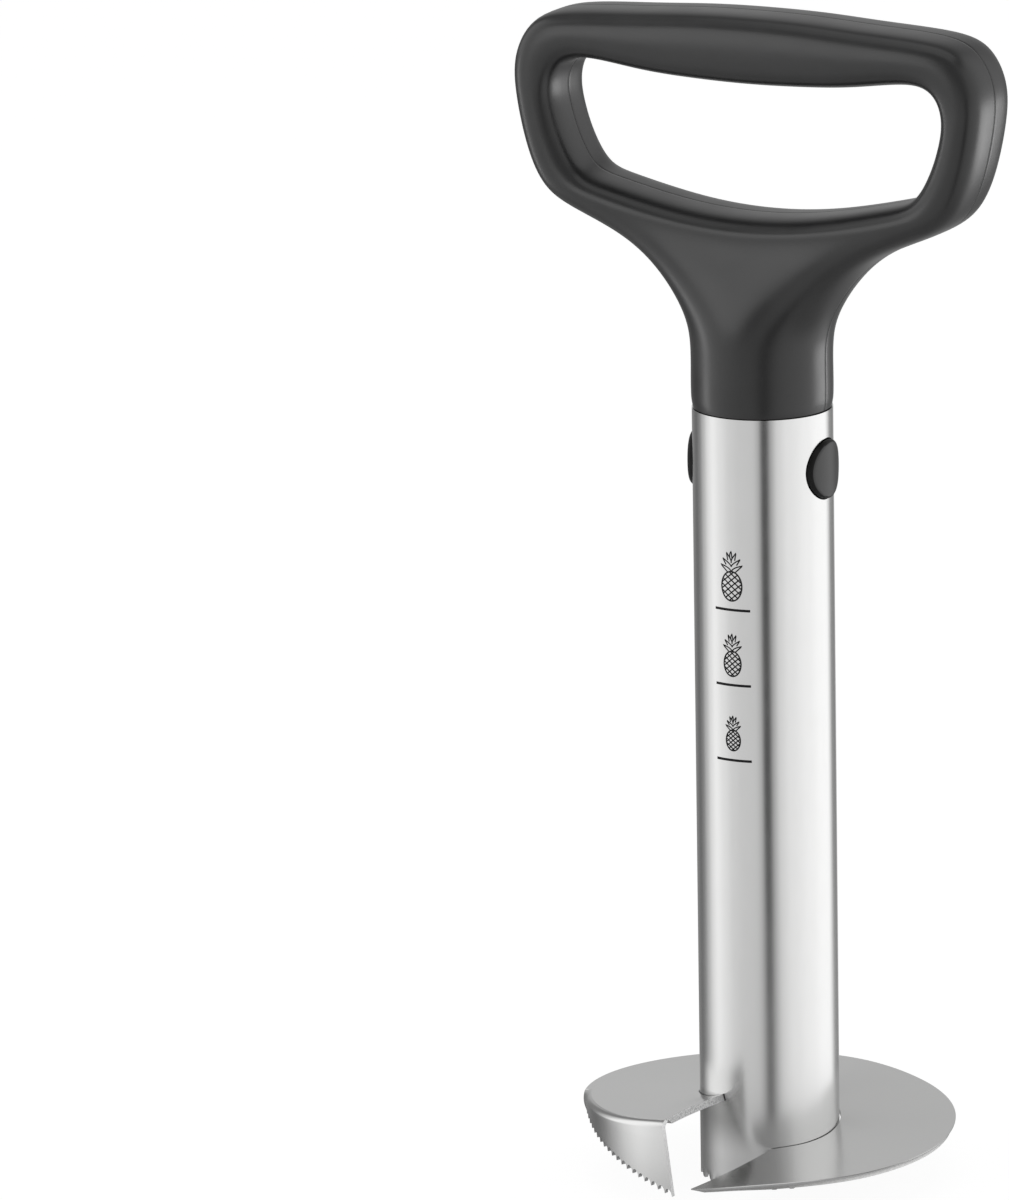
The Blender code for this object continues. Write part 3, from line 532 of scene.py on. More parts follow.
# Dark marks that a laser left on the steel, and drawn wire
MARK_INK = grain_material("tube_mark", ((0.008, 0.008, 0.009), (0.018, 0.018, 0.019)), (0.5, 0.65),
                          (8.0, 4.0, 0.6), 0.000006, IOR=1.3)
SPRING_WIRE = grain_material("spring_wire", ((0.5, 0.5, 0.49), (0.62, 0.62, 0.61)), (0.24, 0.34),
                             (7.0, 4.0, 0.6), 0.000008, Metallic=1.0)


# Coring tube

def tooth_height(share):
    """Height of the tube's edge at a share of one tooth's pitch, from the middle of its tip."""
    away = abs((share + 0.5) % 1 - 0.5)
    return TUBE_TOOTH_DEPTH * smooth_step((away - TUBE_TIP_SHARE) / (TUBE_GULLET_SHARE - TUBE_TIP_SHARE))


def make_tube():
    """Tube with rounded teeth, softened lips and the two button holes."""
    count = TUBE_TEETH * TUBE_COLUMNS_PER_TOOTH
    inner = TUBE_RADIUS - TUBE_WALL
    lip_middle = LIP_MIDDLE_SHARE * TUBE_LIP
    hole_reach = BUTTON_RADIUS + 2 * CLEARANCE
    levels = (2 * TUBE_TOOTH_DEPTH, TUBE_LENGTH / 4, TUBE_LENGTH / 2, BUTTON_HEIGHT - 2 * hole_reach,
              BUTTON_HEIGHT - hole_reach, BUTTON_HEIGHT + hole_reach, TUBE_LENGTH)
    builder = bmesh.new()
    columns = []
    for index in range(count):
        angle = 2 * pi * index / count
        foot = tooth_height(index / TUBE_COLUMNS_PER_TOOTH)
        places = [(TUBE_RADIUS - TUBE_LIP, foot), (TUBE_RADIUS - lip_middle, foot + lip_middle),
                  (TUBE_RADIUS, foot + TUBE_LIP)]
        places += [(TUBE_RADIUS, level) for level in levels]
        places += [(inner, level) for level in reversed(levels)]
        places += [(inner, foot + TUBE_LIP), (inner + TUBE_LIP, foot)]
        columns.append([builder.verts.new(polar(radius, angle, height)) for radius, height in places])
    for index, column in enumerate(columns):
        following = columns[(index + 1) % count]
        for row in range(len(column)):
            above = (row + 1) % len(column)
            builder.faces.new((column[row], following[row], following[above], column[above]))
    tube = mesh_object("cutter_tube_skin", builder)
    reach = 2 * TUBE_RADIUS
    cut_by(tube, rod(BUTTON_RADIUS + CLEARANCE, (-reach, 0, BUTTON_HEIGHT), (reach, 0, BUTTON_HEIGHT)))
    finish_mesh(tube, "slicer", ["cutter_tube"], "tube_steel", TUBE_STEEL)


# Blade

def blade_height(turn, radius=BLADE_RADIUS):
    """Height of the blade's upper face at a share of its turn from the tip."""
    dish = BLADE_DISH * (BLADE_RADIUS - radius) / (BLADE_RADIUS - BLADE_BORE)
    return BLADE_TIP_HEIGHT + BLADE_RISE * blend(BLADE_RISE_SHARES, turn) + dish


def turn_share(angle):
    """Share of the blade's turn at an angle."""
    return (angle - BLADE_TIP_ANGLE) / BLADE_TURN


def leading_angle(radius):
    """Angle at which a circle meets the straight cutting edge between the blade's root and its tip."""
    root = polar(BLADE_BORE, BLADE_ROOT_ANGLE)
    along = (polar(BLADE_RADIUS, BLADE_TIP_ANGLE) - root).normalized()
    foot = root - along * root.dot(along)
    return atan2(foot.y, foot.x) - acos(foot.length / radius)


def flap_turn(share):
    """How far the flap is bent down at a share of the blade's turn."""
    way = (share - FLAP_START_SHARE) / (FLAP_TURNED_SHARE - FLAP_START_SHARE)
    return pi / 2 * min(max(way, FLAP_LEAST_BEND_SHARE), 1)


def flap_drop(share):
    """Depth of the flap below the rim at a share of the blade's turn."""
    way = (share - FLAP_START_SHARE) / (1 - FLAP_START_SHARE)
    start_height = blade_height(FLAP_START_SHARE)
    end_height = blade_height(1) - FLAP_DEPTH
    return blade_height(share) - start_height - way * (end_height - start_height)


def flap_point(share, step, lift=0):
    """Point on the flap's outer face at a step down its bend and wall, the edge lifted by a gullet."""
    angle = BLADE_TIP_ANGLE + share * BLADE_TURN
    bend = flap_turn(share)
    bend_drop = FLAP_BEND_RADIUS * (1 - cos(bend))
    straight = max((flap_drop(share) - bend_drop - lift) / sin(bend), 0)
    if step <= FLAP_BEND_STEPS:
        part = bend * step / FLAP_BEND_STEPS
        outward = FLAP_BEND_RADIUS * sin(part)
        down = FLAP_BEND_RADIUS * (1 - cos(part))
    else:
        run = straight * (step - FLAP_BEND_STEPS) / FLAP_WALL_STEPS
        outward = FLAP_BEND_RADIUS * sin(bend) + run * cos(bend)
        down = bend_drop + run * sin(bend)
    radius = BLADE_RADIUS - FLAP_BEND_RADIUS + outward - FLAP_DRAW_IN * sin(bend)
    angle += FLAP_LEAN * down / FLAP_DEPTH
    return polar(radius, angle, blade_height(share) - down)


def flap_columns():
    """Places across the toothed edge and how far the edge is lifted at each by its round gullets."""
    start, end = flap_point(FLAP_TURNED_SHARE, FLAP_STEPS), flap_point(1, FLAP_STEPS)
    arc = BLADE_RADIUS * (1 - FLAP_TURNED_SHARE) * BLADE_TURN
    slope = (end.z - start.z) / arc
    count = ceil(hypot(arc, end.z - start.z) / FLAP_TOOTH_PITCH)
    places = []
    for index in range(count):
        center = arc * (index + 0.5) / count
        for step in range(-FLAP_GULLET_STEPS, FLAP_GULLET_STEPS + 1):
            away = FLAP_GULLET_RADIUS * sin(pi / 2 * step / FLAP_GULLET_STEPS)
            rise = FLAP_GULLET_STRETCH * sqrt(max(FLAP_GULLET_RADIUS ** 2 - away ** 2, 0))
            lift = max(rise - slope * away, 0)
            place = FLAP_TURNED_SHARE + (1 - FLAP_TURNED_SHARE) * (center + away) / arc
            places.append((place, lift))
    return places + [(1, 0)]


def make_blade():
    """Blade with its ground leading edge, rounded bend and round-gulleted flap."""
    flat_radius = BLADE_RADIUS - FLAP_BEND_RADIUS
    ground_share = BLADE_GROUND_WIDTH / (BLADE_RADIUS * BLADE_TURN)
    half_ground = ground_share / 2
    places = [(0, 0), (half_ground, 0), (ground_share, 0)]
    places += [(index / BLADE_COLUMNS, 0) for index in range(1, BLADE_COLUMNS)
               if 3 * half_ground < index / BLADE_COLUMNS < FLAP_TURNED_SHARE - COLUMN_ROOM_SHARE]
    places += flap_columns()
    builder = bmesh.new()
    weights = builder.verts.layers.deform.verify()
    grid = []
    for share, lift in places:
        column = []
        for row in range(BLADE_ROWS):
            radial = row / (BLADE_ROWS - 1)
            radius = BLADE_BORE + radial * (flat_radius - BLADE_BORE)
            start = leading_angle(radius)
            end = BLADE_END_ANGLE + BLADE_END_SKEW * (1 - radial)
            angle = start + share * (end - start)
            column.append(builder.verts.new(polar(radius, angle, blade_height(turn_share(angle), radius))))
        if share < FLAP_START_SHARE:
            angle = BLADE_TIP_ANGLE + share * BLADE_TURN
            for radius, drop in ((BLADE_RADIUS - BLADE_RIM_BREAK, 0), (BLADE_RADIUS, BLADE_RIM_BREAK)):
                column.append(builder.verts.new(polar(radius, angle, blade_height(share) - drop)))
        else:
            column += [builder.verts.new(flap_point(share, step + 1, lift)) for step in range(FLAP_STEPS)]
        swell = smooth_step((share - BLADE_RIM_START_SHARE) / (BLADE_RIM_FULL_SHARE - BLADE_RIM_START_SHARE))
        swell *= smooth_step((FLAP_START_SHARE - share) / (FLAP_START_SHARE - BLADE_RIM_END_SHARE))
        burr = smooth_step((share - BLADE_BURR_SHARE) / (1 - BLADE_BURR_SHARE))
        for row, point in enumerate(column):
            ground = min(share / ground_share, 1)
            thick = SHEET_SHARE + (1 - SHEET_SHARE) * (swell if row >= BLADE_ROWS else burr)
            point[weights][0] = ground * (thick - BLADE_EDGE_SHARE) / (1 - BLADE_EDGE_SHARE)
        grid.append(column)
    for before, after in zip(grid, grid[1:]):
        strips(builder, (before, after))
        if len(after) > len(before):
            builder.faces.new([before[-1]] + after[:len(before) - 2:-1])
    blade = mesh_object("slicing_blade_skin", builder)
    blade.vertex_groups.new(name="full_thickness")
    for material in (BLADE_STEEL, RIM_STEEL):
        blade.data.materials.append(material)
    modified(blade, "SOLIDIFY", thickness=BLADE_RIM_THICKNESS, offset=-1, vertex_group="full_thickness",
             thickness_vertex_group=BLADE_EDGE_SHARE, material_offset_rim=1)
    edges = [edge_kind(face) if face.material_index else 0 for face in blade.data.polygons]
    finish_mesh(blade, "slicer", ["slicing_blade"], "blade_steel", BLADE_STEEL, RIM_STEEL, TORN_STEEL,
                PUNCHED_STEEL, FLAP_END_STEEL)
    for face, kind in zip(blade.data.polygons, edges):
        face.material_index = kind


def edge_kind(face):
    """Which edge a rim face is on: 1 the round rim, 2 the torn radial cut, 3 the teeth, 4 the flap's end.

    The bore's edge and most of the cutting edge count as the blade's own face, 0.
    """
    place = face.center
    radius = hypot(place.x, place.y)
    turn = turn_share((atan2(place.y, place.x) - BLADE_TIP_ANGLE) % (2 * pi) + BLADE_TIP_ANGLE)
    if radius < BLADE_RADIUS - 2 * BLADE_THICKNESS:
        return 2 if turn > BLADE_TORN_START_SHARE and radius > BLADE_BORE + MERGE_DISTANCE else 0
    lean = FLAP_LEAN * (blade_height(1) - place.z) / FLAP_DEPTH / BLADE_TURN
    if turn < FLAP_START_SHARE:
        return 1
    return 3 if turn < FLAP_TEETH_END_SHARE + lean else 4


# Buttons

def make_button(side, body, node):
    """Button with a softly rounded, tube-following face, its flange and the spring's pocket."""
    rings, round_steps, count, pocket_sides = 10, 8, 96, 48
    face_radius = BUTTON_RADIUS - BUTTON_ROUND
    profile = [(face_radius * index / rings, 0.0) for index in range(1, rings)]
    for step in range(round_steps + 1):
        angle = pi / 2 * step / round_steps
        profile.append((face_radius + BUTTON_ROUND * sin(angle) ** BUTTON_CRISPNESS,
                        -BUTTON_ROUND * (1 - cos(angle) ** BUTTON_CRISPNESS)))
    builder = bmesh.new()
    middle = builder.verts.new((side * BUTTON_FACE, 0, BUTTON_HEIGHT))
    loops = []
    for radius, drop in profile:
        loop = []
        for index in range(count):
            angle = 2 * pi * index / count
            across = radius * cos(angle)
            face = sqrt(BUTTON_FACE ** 2 - across ** 2)
            height = BUTTON_HEIGHT + radius * sin(angle)
            loop.append(builder.verts.new((side * (face + drop), across, height)))
        loops.append(loop)
    end = side * BUTTON_POCKET_FLOOR * BUTTON_SKIN_END_SHARE
    loops.append([builder.verts.new((end, point.co.y, point.co.z)) for point in loops[-1]])
    for index in range(count):
        following = (index + 1) % count
        builder.faces.new((middle, loops[0][index], loops[0][following]))
        for inner, outer in zip(loops, loops[1:]):
            builder.faces.new((inner[index], outer[index], outer[following], inner[following]))
    builder.faces.new(loops[-1])
    button = mesh_object(node + "_skin", builder, True)
    near, far = sorted((side * BUTTON_BACK, side * 2 * BUTTON_FLANGE_RADIUS))
    low, high = BUTTON_HEIGHT - BUTTON_FLANGE_HALF, BUTTON_HEIGHT + BUTTON_FLANGE_HALF
    flange = block((near, -BUTTON_FLANGE_HALF, low), (far, BUTTON_FLANGE_HALF, high))
    cut_by(flange, rod(BUTTON_FLANGE_RADIUS, (0, 0, low - CLEARANCE), (0, 0, high + CLEARANCE)), "INTERSECT")
    cut_by(button, flange, "UNION")
    cut_by(button, rod(BUTTON_POCKET_RADIUS, (0, 0, BUTTON_HEIGHT),
                       (side * BUTTON_POCKET_FLOOR, 0, BUTTON_HEIGHT), pocket_sides))
    finish_mesh(button, body, [node], "button_plastic", BUTTON_PLASTIC, BUTTON_WALL_PAINTED_SHADE)
    # Faces that don't look outward, the side wall round the face, get the painted shade
    for face in button.data.polygons:
        across = face.center.y / BUTTON_FACE
        outward = Vector((side * sqrt(max(1 - across ** 2, 0)), across, 0))
        face.material_index = 0 if face.normal.dot(outward) > BUTTON_FACE_LEAST_DOT else 1


def make_spring(side, node):
    """Coil spring behind a button, fixed in its resting place."""
    points_per_turn, sides = 24, 12
    steps = SPRING_TURNS * points_per_turn
    length = SPRING_END - SPRING_START
    climb = length / (SPRING_TURNS * 2 * pi * SPRING_RADIUS)
    builder = bmesh.new()
    rings = []
    for index in range(steps + 1):
        angle = 2 * pi * index / points_per_turn
        outward = Vector((0, cos(angle), sin(angle)))
        across = Vector((side * climb, -sin(angle), cos(angle))).normalized().cross(outward)
        middle = SPRING_RADIUS * outward
        middle += Vector((side * (SPRING_START + length * index / steps), 0, BUTTON_HEIGHT))
        rings.append([])
        for k in range(sides):
            turn = 2 * pi * k / sides
            reach = SPRING_WIRE_RADIUS * (cos(turn) * outward + sin(turn) * across)
            rings[-1].append(builder.verts.new(middle + reach))
    strips(builder, rings, True)
    builder.faces.new(rings[0])
    builder.faces.new(rings[-1])
    spring = mesh_object(node + "_skin", builder, True)
    dress(spring, SPRING_WIRE)
    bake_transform(spring)
    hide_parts(node)


# Handle

def neighbours(points, index, mirrored_end):
    """The points before and after one, mirrored at the middle of the handle."""
    last = len(points) - 1
    following = points[min(index + 1, last)]
    if index == last and mirrored_end:
        following = Vector((-points[last - 1].x, points[last - 1].y))
    before = points[index - 1] if index else Vector((-points[1].x, points[1].y))
    return before, following


def set_in(points, distance, mirrored_end):
    """Move each point of a line square to it, to the right of its run."""
    moved = []
    for index, point in enumerate(points):
        before, following = neighbours(points, index, mirrored_end)
        run = (following - before).normalized()
        moved.append(point + distance * Vector((run.y, -run.x)))
    return moved


def through(points, mirrored_end):
    """Cage points whose smooth line passes through the given points.

    The smooth line passes at a sixth of the way from a cage point to each of its neighbours.
    """
    cage = [point.copy() for point in points]
    for _ in range(CAGE_PASSES):
        for index in range(len(cage) - (0 if mirrored_end else 1)):
            before, following = neighbours(cage, index, mirrored_end)
            cage[index] += points[index] - (before + 4 * cage[index] + following) / 6
    return cage


def outer_line():
    """Outer line of the handle in the X-Z plane, from the top of the grip to below the collar."""
    line = [Vector((HANDLE_HALF_WIDTH * x, SILL_HEIGHT + LOOP_HEIGHT * z)) for x, z in GRIP_LINE_SHARES]
    collar = Vector((COLLAR_RADIUS, COLLAR_HEIGHT))
    reach = line[-1] - collar
    return line + [collar + Vector((reach.x * x, reach.y * z)) for x, z in NECK_LINE_SHARES]


def window_line():
    """Line of the window, from its top to the middle of its sill."""
    return [Vector((WINDOW_HALF_WIDTH * x, SILL_HEIGHT + WINDOW_HEIGHT * z)) for x, z in WINDOW_LINE_SHARES]


def neck_section(place, inward, row, half_thickness):
    """Cage points of a neck row, from the outer line to the middle of the front, flat above, round below."""
    swell = 6 / (4 + 2 * cos(pi / 2 / NECK_STEPS))
    round_share = NECK_ROUND_SHARES[row]
    corner = place + inward * HANDLE_EDGE
    flat = ((place.x, 0), (place.x, HANDLE_EDGE - half_thickness), (corner.x, -half_thickness),
            (corner.x / 2, -half_thickness), (0, -half_thickness))
    points = []
    for step, plain in enumerate(flat):
        angle = pi / 2 * step / NECK_STEPS
        ring = Vector((place.x * swell * cos(angle), -COLLAR_RADIUS * swell * sin(angle)))
        mixed = Vector(plain).lerp(ring, round_share)
        height = place.y + (corner.y - place.y) * (1 - round_share) * (step > 1)
        sink = NECK_DIP_SHARES[row] * NECK_HEIGHT * max(step - 2, 0) / 2
        points.append(Vector((mixed.x, mixed.y, height - sink)))
    return points


def handle_form():
    """The handle's outer form: a quarter of a cage, mirrored across X and Y, then subdivided.

    The cage's front stands a twelfth of the edge's width outside the smooth surface.
    """
    half_thickness = HANDLE_THICKNESS / 2 + HANDLE_EDGE / 12
    outer = through(outer_line(), False)
    window = through(window_line(), True)
    outer_corner = set_in(outer, HANDLE_EDGE, False)
    window_corner = set_in(window, -HANDLE_EDGE, True)
    ring_count = len(GRIP_LINE_SHARES)
    builder = bmesh.new()

    def side(place, corner):
        """Places on one side, from the parting to the corner of the front."""
        return [(place.x, 0, place.y), (place.x, HANDLE_EDGE - half_thickness, place.y),
                (corner.x, -half_thickness, corner.y)]

    def vertices(places):
        return [builder.verts.new(place) for place in places]

    outer_sides = [side(*pair) for pair in zip(outer[:ring_count], outer_corner)]
    window_sides = [side(*pair)[::-1] for pair in zip(window, window_corner)]
    ring = [vertices(far + near) for far, near in zip(outer_sides, window_sides)]
    sill = [ring[-1][3:]] + [vertices(near) for near in window_sides[ring_count:]]
    neck = []
    for row in range(len(NECK_LINE_SHARES) + 1):
        place = outer[ring_count - 1 + row]
        inward = (outer_corner[ring_count - 1 + row] - place).normalized()
        start = ring[-1][:3] if row == 0 else []
        points = neck_section(place, inward, row, half_thickness)
        neck.append(start + vertices(points[len(start):]))
    strips(builder, ring)
    strips(builder, sill)
    builder.faces.new((neck[0][2], sill[0][0], sill[1][0], neck[0][3]))
    builder.faces.new((neck[0][3], sill[1][0], sill[2][0], neck[0][4]))
    strips(builder, neck)
    form = mesh_object("handle_form", builder, True)
    modified(form, "MIRROR", use_axis=(True, True, False), merge_threshold=MERGE_DISTANCE)
    modified(form, "SUBSURF", levels=SMOOTH_LEVELS, render_levels=SMOOTH_LEVELS)
    mesh = form.data
    bpy.data.objects.remove(form, do_unlink=True)
    return mesh


def slice_form(builder, place, normal, drop=True):
    """Cut a bmesh along a plane and, where asked, drop the part on the side that the normal points to."""
    everything = builder.verts[:] + builder.edges[:] + builder.faces[:]
    bmesh.ops.bisect_plane(builder, geom=everything, dist=MERGE_DISTANCE / 10, plane_co=place,
                           plane_no=normal, clear_outer=drop)


def make_handle_half(name, side, node, form):
    """One moulded half: outer face, the wall inside it, and softened edges at the parting and the collar."""
    builder = bmesh.new()
    builder.from_mesh(form)
    parting = side * PARTING_GAP / 2
    slice_form(builder, (0, parting, 0), (0, -side, 0))
    foot = COLLAR_HEIGHT - COLLAR_SEAT
    slice_form(builder, (0, 0, foot), (0, 0, -1))
    for share in COLLAR_ROUND_SHARES:
        slice_form(builder, (0, 0, foot + COLLAR_ROUND_HEIGHT * share), (0, 0, 1), False)
    for point in builder.verts:
        way = 1 - min((point.co.z - foot) / COLLAR_ROUND_HEIGHT, 1)
        inward = 1 - COLLAR_ROUND_DEPTH / COLLAR_RADIUS * way ** 2
        point.co.x *= inward
        point.co.y = parting + (point.co.y - parting) * inward
    builder.normal_update()
    rim = [edge for edge in builder.edges if edge.is_boundary]
    inner = {}
    for point in list(builder.verts):
        normal = point.normal.copy()
        if abs(point.co.y - parting) < MERGE_DISTANCE:
            normal.y = 0
        if abs(point.co.z - foot) < MERGE_DISTANCE:
            normal.z = 0
        inner[point] = point.co - HANDLE_WALL * normal.normalized()
    inner = {point: builder.verts.new(place) for point, place in inner.items()}
    for face in list(builder.faces):
        builder.faces.new([inner[point] for point in reversed(face.verts)])
    for edge in rim:
        first, second = edge.verts
        builder.faces.new((first, second, inner[second], inner[first]))
    bmesh.ops.recalc_face_normals(builder, faces=builder.faces)
    bmesh.ops.bevel(builder, geom=rim, offset=PARTING_ROUND, segments=2, profile=0.5, affect="EDGES",
                    clamp_overlap=True)
    half = mesh_object(name, builder)
    return finish_mesh(half, "slicer", [node], "handle_plastic", HANDLE_PLASTIC)


# Depth marks

def ribbon(builder, points, width, closed=False):
    """Flat stroke along a line of (along, height) places on the tube, laid round its surface."""
    count = len(points)
    pairs = []
    for index, point in enumerate(points):
        before = points[index - 1] if index or closed else point
        after = points[(index + 1) % count] if index < count - 1 or closed else point
        run = (Vector(after) - Vector(before)).normalized()
        side = Vector((-run.y, run.x)) * width / 2
        pair = []
        for place in (Vector(point) + side, Vector(point) - side):
            angle = MARK_ANGLE + place.x / TUBE_RADIUS
            pair.append(builder.verts.new(polar(TUBE_RADIUS + MARK_STAND, angle, place.y)))
        pairs.append(pair)
    strips(builder, pairs + [pairs[0]] if closed else pairs)


def leaf(start, tip, end):
    """Two sides of a pointed leaf, the inner one bowed away from the outer one."""
    start, tip, end = Vector(start), Vector(tip), Vector(end)
    bow = (start - end) * LEAF_BOW_SHARE
    shares = [k / LEAF_STEPS for k in range(LEAF_STEPS + 1)]
    return [start.lerp(tip, t) + bow * sin(pi * t) for t in shares] + [tip.lerp(end, t) for t in shares[1:]]


def pictogram(builder, low, high, width):
    """Plain fruit sign: an oval with a diamond lattice and a crown of pointed leaves."""
    height = high - low
    half, half_height = OVAL_WIDTH_SHARE * width, OVAL_HEIGHT_SHARE * height
    center = low + half_height
    height_share = height / (MARKS[0][2] - MARKS[0][1])
    stroke = MARK_STROKE * (SMALL_STROKE_SHARE + (1 - SMALL_STROKE_SHARE) * height_share)
    turns = [pi * k / MARK_STEPS for k in range(2 * MARK_STEPS)]
    oval = [(half * cos(turn), center + half_height * sin(turn)) for turn in turns]
    ribbon(builder, oval, stroke * OVAL_STROKE_SHARE, True)
    steepness = LATTICE_STEEPNESS * half_height / half
    for lean in (-1, 1):
        for offset in LATTICE_SHARES:
            inside = []
            for k in range(2 * LATTICE_STEPS + 1):
                x = half * (k / LATTICE_STEPS - 1)
                y = lean * steepness * x + offset * half_height
                if (x / half) ** 2 + (y / half_height) ** 2 < LATTICE_REACH:
                    inside.append((x, center + y))
            ribbon(builder, inside, stroke * LATTICE_STROKE_SHARE)
    base = low + CROWN_START_SHARE * half_height
    crown = high - base
    for start, tip, end in LEAF_SHARES:
        for side in ((-1, 1) if tip[0] else (1,)):
            places = [(side * x * crown, base + z * crown) for x, z in (start, tip, end)]
            ribbon(builder, leaf(*places), stroke * LEAF_STROKE_SHARE)


def make_marks():
    """Depth lines with their signs, laid thinly on the tube's front."""
    builder = bmesh.new()
    for line, low, high, width in MARKS:
        points = [(MARK_LINE_LENGTH * (k / MARK_STEPS - 0.5), line) for k in range(MARK_STEPS + 1)]
        ribbon(builder, points, MARK_LINE_WIDTH)
        pictogram(builder, low, high, width)
    marks = mesh_object("depth_marks", builder)
    modified(marks, "SOLIDIFY", thickness=2 * MARK_STAND, offset=-1)
    finish_mesh(marks, "slicer", [], "tube_steel", MARK_INK)


make_tube()
make_blade()
for node_side, name_side in ((-1, "left"), (1, "right")):
    make_button(node_side, name_side + "_button", "release_button_" + name_side)
    make_spring(node_side, "button_spring_" + name_side)
FORM = handle_form()
HANDLE_SKINS = (make_handle_half("handle_front_skin", -1, "handle_front_shell", FORM),
                make_handle_half("handle_rear_skin", 1, "handle_rear_shell", FORM))
make_marks()

for node in ("latch_core", "latch_cap"):
    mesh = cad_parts[node].data
    mesh.materials.clear()
    mesh.materials.append(LATCH_PLASTIC)


# Floor, light and camera

FLOOR_REACH = 3.0
FLOOR_TONE = 0.9
FLOOR_GLOW = 0.92
FLOOR_SHADE = 0.19
FLOOR_MIRRORED_GLOW = 0.1
FLOOR_MIRRORED_CLEAR = 0.45
FLOOR_MIRRORED_NEAR = 0.03
FLOOR_MIRRORED_FAR = 0.11
# Studio surroundings: degrees round from the camera's side, and brightness there level with the object
SIDE_LIGHT = ((-180, 0.42), (-165, 0.25), (-140, 0.15), (-128, 0.24), (-116, 0.52), (-103, 0.86),
              (-92, 1.02), (-75, 0.86), (-58, 0.72), (-40, 0.66), (-18, 0.64), (-9, 0.5), (-3, 0.07),
              (4, 0.07), (11, 0.45), (22, 0.76), (40, 0.9), (75, 1.03), (100, 1.13), (122, 1.15),
              (131, 0.75), (138, 0.3), (156, 0.24), (168, 0.5), (180, 0.42))
# The same a little above the object, and high above it
UPPER_LIGHT = ((-180, 0.55), (-168, 0.45), (-156, 0.22), (-142, 0.22), (-130, 0.6), (-118, 1.15), (-98, 1.15),
               (-80, 0.95), (-66, 0.42), (-54, 0.24), (-35, 0.26), (0, 0.3), (20, 0.45), (42, 0.72),
               (60, 0.8), (95, 0.82), (125, 0.75), (142, 0.4), (160, 0.45), (180, 0.55))
HIGH_LIGHT = ((-180, 0.25), (-150, 0.25), (-125, 0.3), (-80, 0.22), (0, 0.2), (60, 0.22), (100, 0.24),
              (130, 0.24), (180, 0.25))
LOW_LIGHT = 0.45
# How far a direction climbs, as a sine, where each of these gives way to the next above it
LOW_CHANGE = (-0.75, -0.4)
UPPER_CHANGE = (-0.1, 0.04)
HIGH_CHANGE = (0.62, 0.8)
# Large soft box above: its name, place, aim, size and power
TOP_BOX = ("top_box", (0, -0.2, 1.4), (0, 0, 0.12), (1.2, 1.2), 2.5)
# Small ones: degrees round from the camera's side, distance, height, size and power
LAMP_CARDS = (("right_card", 108, 0.45, 0.13, (0.24, 0.16), 0.24),
              ("left_card", -57, 0.5, 0.34, (0.26, 0.24), 0.27),
              ("edge_card", -103, 0.45, 0.13, (0.09, 0.22), 0.1))
GRIP_MIDDLE = 0.25


def make_floor():
    """Pale floor that the camera sees as white paper, with a trace of the object's shadow.

    Polished steel mirrors it dimmed near the object, and further out mirrors the studio instead.
    """
    builder = bmesh.new()
    bmesh.ops.create_grid(builder, x_segments=2, y_segments=2, size=FLOOR_REACH)
    floor = mesh_object("floor", builder)
    material, shader, nodes = new_material("floor_paper")
    nodes.put(shader, {"Base Color": (FLOOR_TONE,) * 3 + (1,), "Roughness": 0.9, "Specular IOR Level": 0.1})
    rays = nodes.add("LightPath").outputs
    away = nodes.add("VectorMath", {0: nodes.place()}, operation="LENGTH").outputs["Value"]
    near_far = MM * FLOOR_MIRRORED_NEAR, MM * FLOOR_MIRRORED_FAR

    def joined(kind, *inputs):
        """Shader that joins the inputs in their order."""
        return nodes.add(kind, dict(enumerate(inputs))).outputs[0]

    def glow(strength):
        """White light of a strength."""
        return joined("Emission", (1, 1, 1, 1), strength)

    shade = joined("BsdfDiffuse", (FLOOR_SHADE,) * 3 + (1,))
    paper = joined("AddShader", glow(FLOOR_GLOW), shade)
    clear = joined("BsdfTransparent", nodes.ranged(away, *near_far, FLOOR_MIRRORED_CLEAR, 1))
    close = glow(nodes.ranged(away, *near_far, FLOOR_MIRRORED_GLOW, 0))
    mirrored = joined("AddShader", close, clear)
    unseen = joined("MixShader", rays["Is Glossy Ray"], shader.outputs[0], mirrored)
    seen = joined("MixShader", rays["Is Camera Ray"], unseen, paper)
    nodes.put(material.node_tree.nodes["Material Output"], {"Surface": seen})
    floor.data.materials.append(material)


def round_ramp(nodes, share, table):
    """Brightness round the object, read from a table by azimuth."""
    node = nodes.add("ValToRGB", {0: share})
    ramp = node.color_ramp
    ramp.interpolation = "EASE"
    ramp.elements.remove(ramp.elements[-1])
    for index, (angle, tone) in enumerate(table):
        position = (angle + 180) / 360
        element = ramp.elements.new(position) if index else ramp.elements[0]
        element.position = position
        element.color = (tone, tone, tone, 1)
    return node.outputs[0]


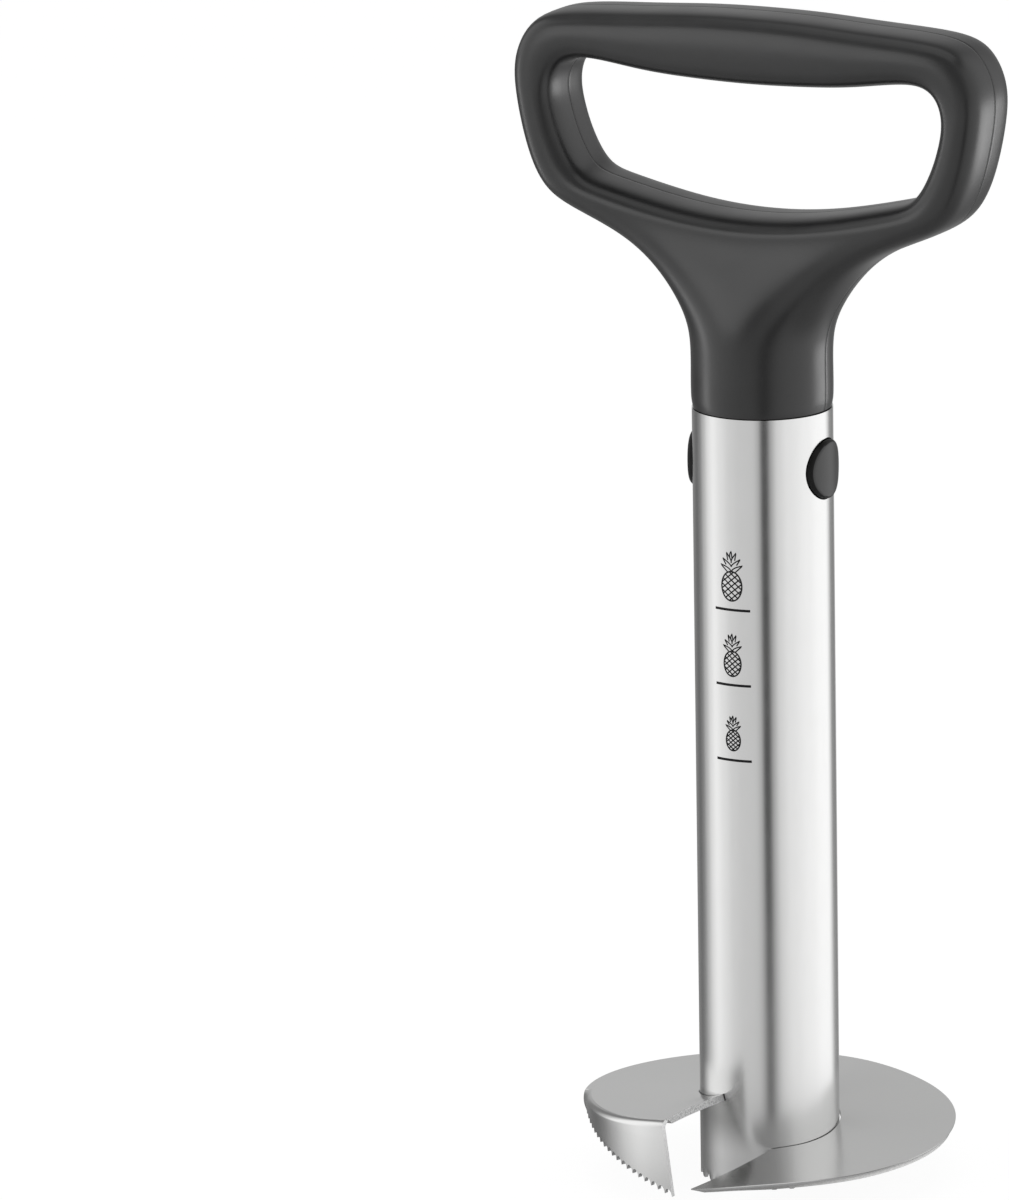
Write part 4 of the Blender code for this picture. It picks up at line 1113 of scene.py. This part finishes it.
def make_world():
    """Studio surroundings by direction, and plain white for the camera."""
    world = bpy.data.worlds.new("studio")
    bpy.context.scene.world = world
    world.use_nodes = True
    nodes = Nodes(world.node_tree)
    world.node_tree.nodes.clear()
    place = nodes.add("TexCoord").outputs["Generated"]
    turned = nodes.add("VectorRotate", {"Vector": place, "Angle": -(CAMERA_TURN - pi / 2)},
                       rotation_type="Z_AXIS")
    split = nodes.add("SeparateXYZ", {0: turned.outputs[0]}).outputs
    azimuth = nodes.math("ARCTAN2", split[1], split[0])
    share = nodes.math("ADD", nodes.math("DIVIDE", azimuth, 2 * pi), 0.5)
    tone = (LOW_LIGHT,) * 3
    for table, change in ((SIDE_LIGHT, LOW_CHANGE), (UPPER_LIGHT, UPPER_CHANGE), (HIGH_LIGHT, HIGH_CHANGE)):
        tone = nodes.mix(nodes.ranged(split[2], *change), tone, round_ramp(nodes, share, table))
    seen = nodes.mix(nodes.add("LightPath").outputs["Is Camera Ray"], tone, (1, 1, 1))
    background = nodes.add("Background", {"Color": seen})
    nodes.add("OutputWorld", {"Surface": background.outputs[0]})


def make_lamp(name, place, target, size, energy):
    """Soft box that looks at a point."""
    lamp = bpy.data.lights.new(name, "AREA")
    lamp.shape = "RECTANGLE"
    lamp.size, lamp.size_y = size
    lamp.energy = energy
    item = link(name, lamp)
    aim = (Vector(target) - Vector(place)).to_track_quat("-Z", "Y")
    item.matrix_world = Matrix.Translation(place) @ aim.to_matrix().to_4x4()
    return item


def make_camera():
    """Camera at the photograph's place."""
    data = bpy.data.cameras.new("photo_camera")
    data.lens = CAMERA_LENS
    data.sensor_width = CAMERA_SENSOR
    data.clip_start = CAMERA_CLIP_START
    item = link("photo_camera", data)
    turn = Matrix.Rotation(CAMERA_TURN, 4, "Z") @ Matrix.Rotation(pi / 2 - CAMERA_DROP, 4, "X")
    item.matrix_world = Matrix.Translation(CAMERA_PLACE) @ turn @ Matrix.Rotation(CAMERA_ROLL, 4, "Z")
    bpy.context.scene.camera = item


make_floor()
make_world()
make_lamp(*TOP_BOX)
lit_handle = bpy.data.collections.new("lit_handle")
for skin in HANDLE_SKINS:
    lit_handle.objects.link(skin)
for lamp_name, azimuth, distance, height, lamp_size, lamp_energy in LAMP_CARDS:
    turn = radians(azimuth) + CAMERA_TURN - pi / 2
    card = make_lamp(lamp_name, polar(distance, turn, height), (0, 0, GRIP_MIDDLE), lamp_size, lamp_energy)
    card.light_linking.receiver_collection = lit_handle
make_camera()
bpy.context.scene.view_settings.view_transform = "Standard"
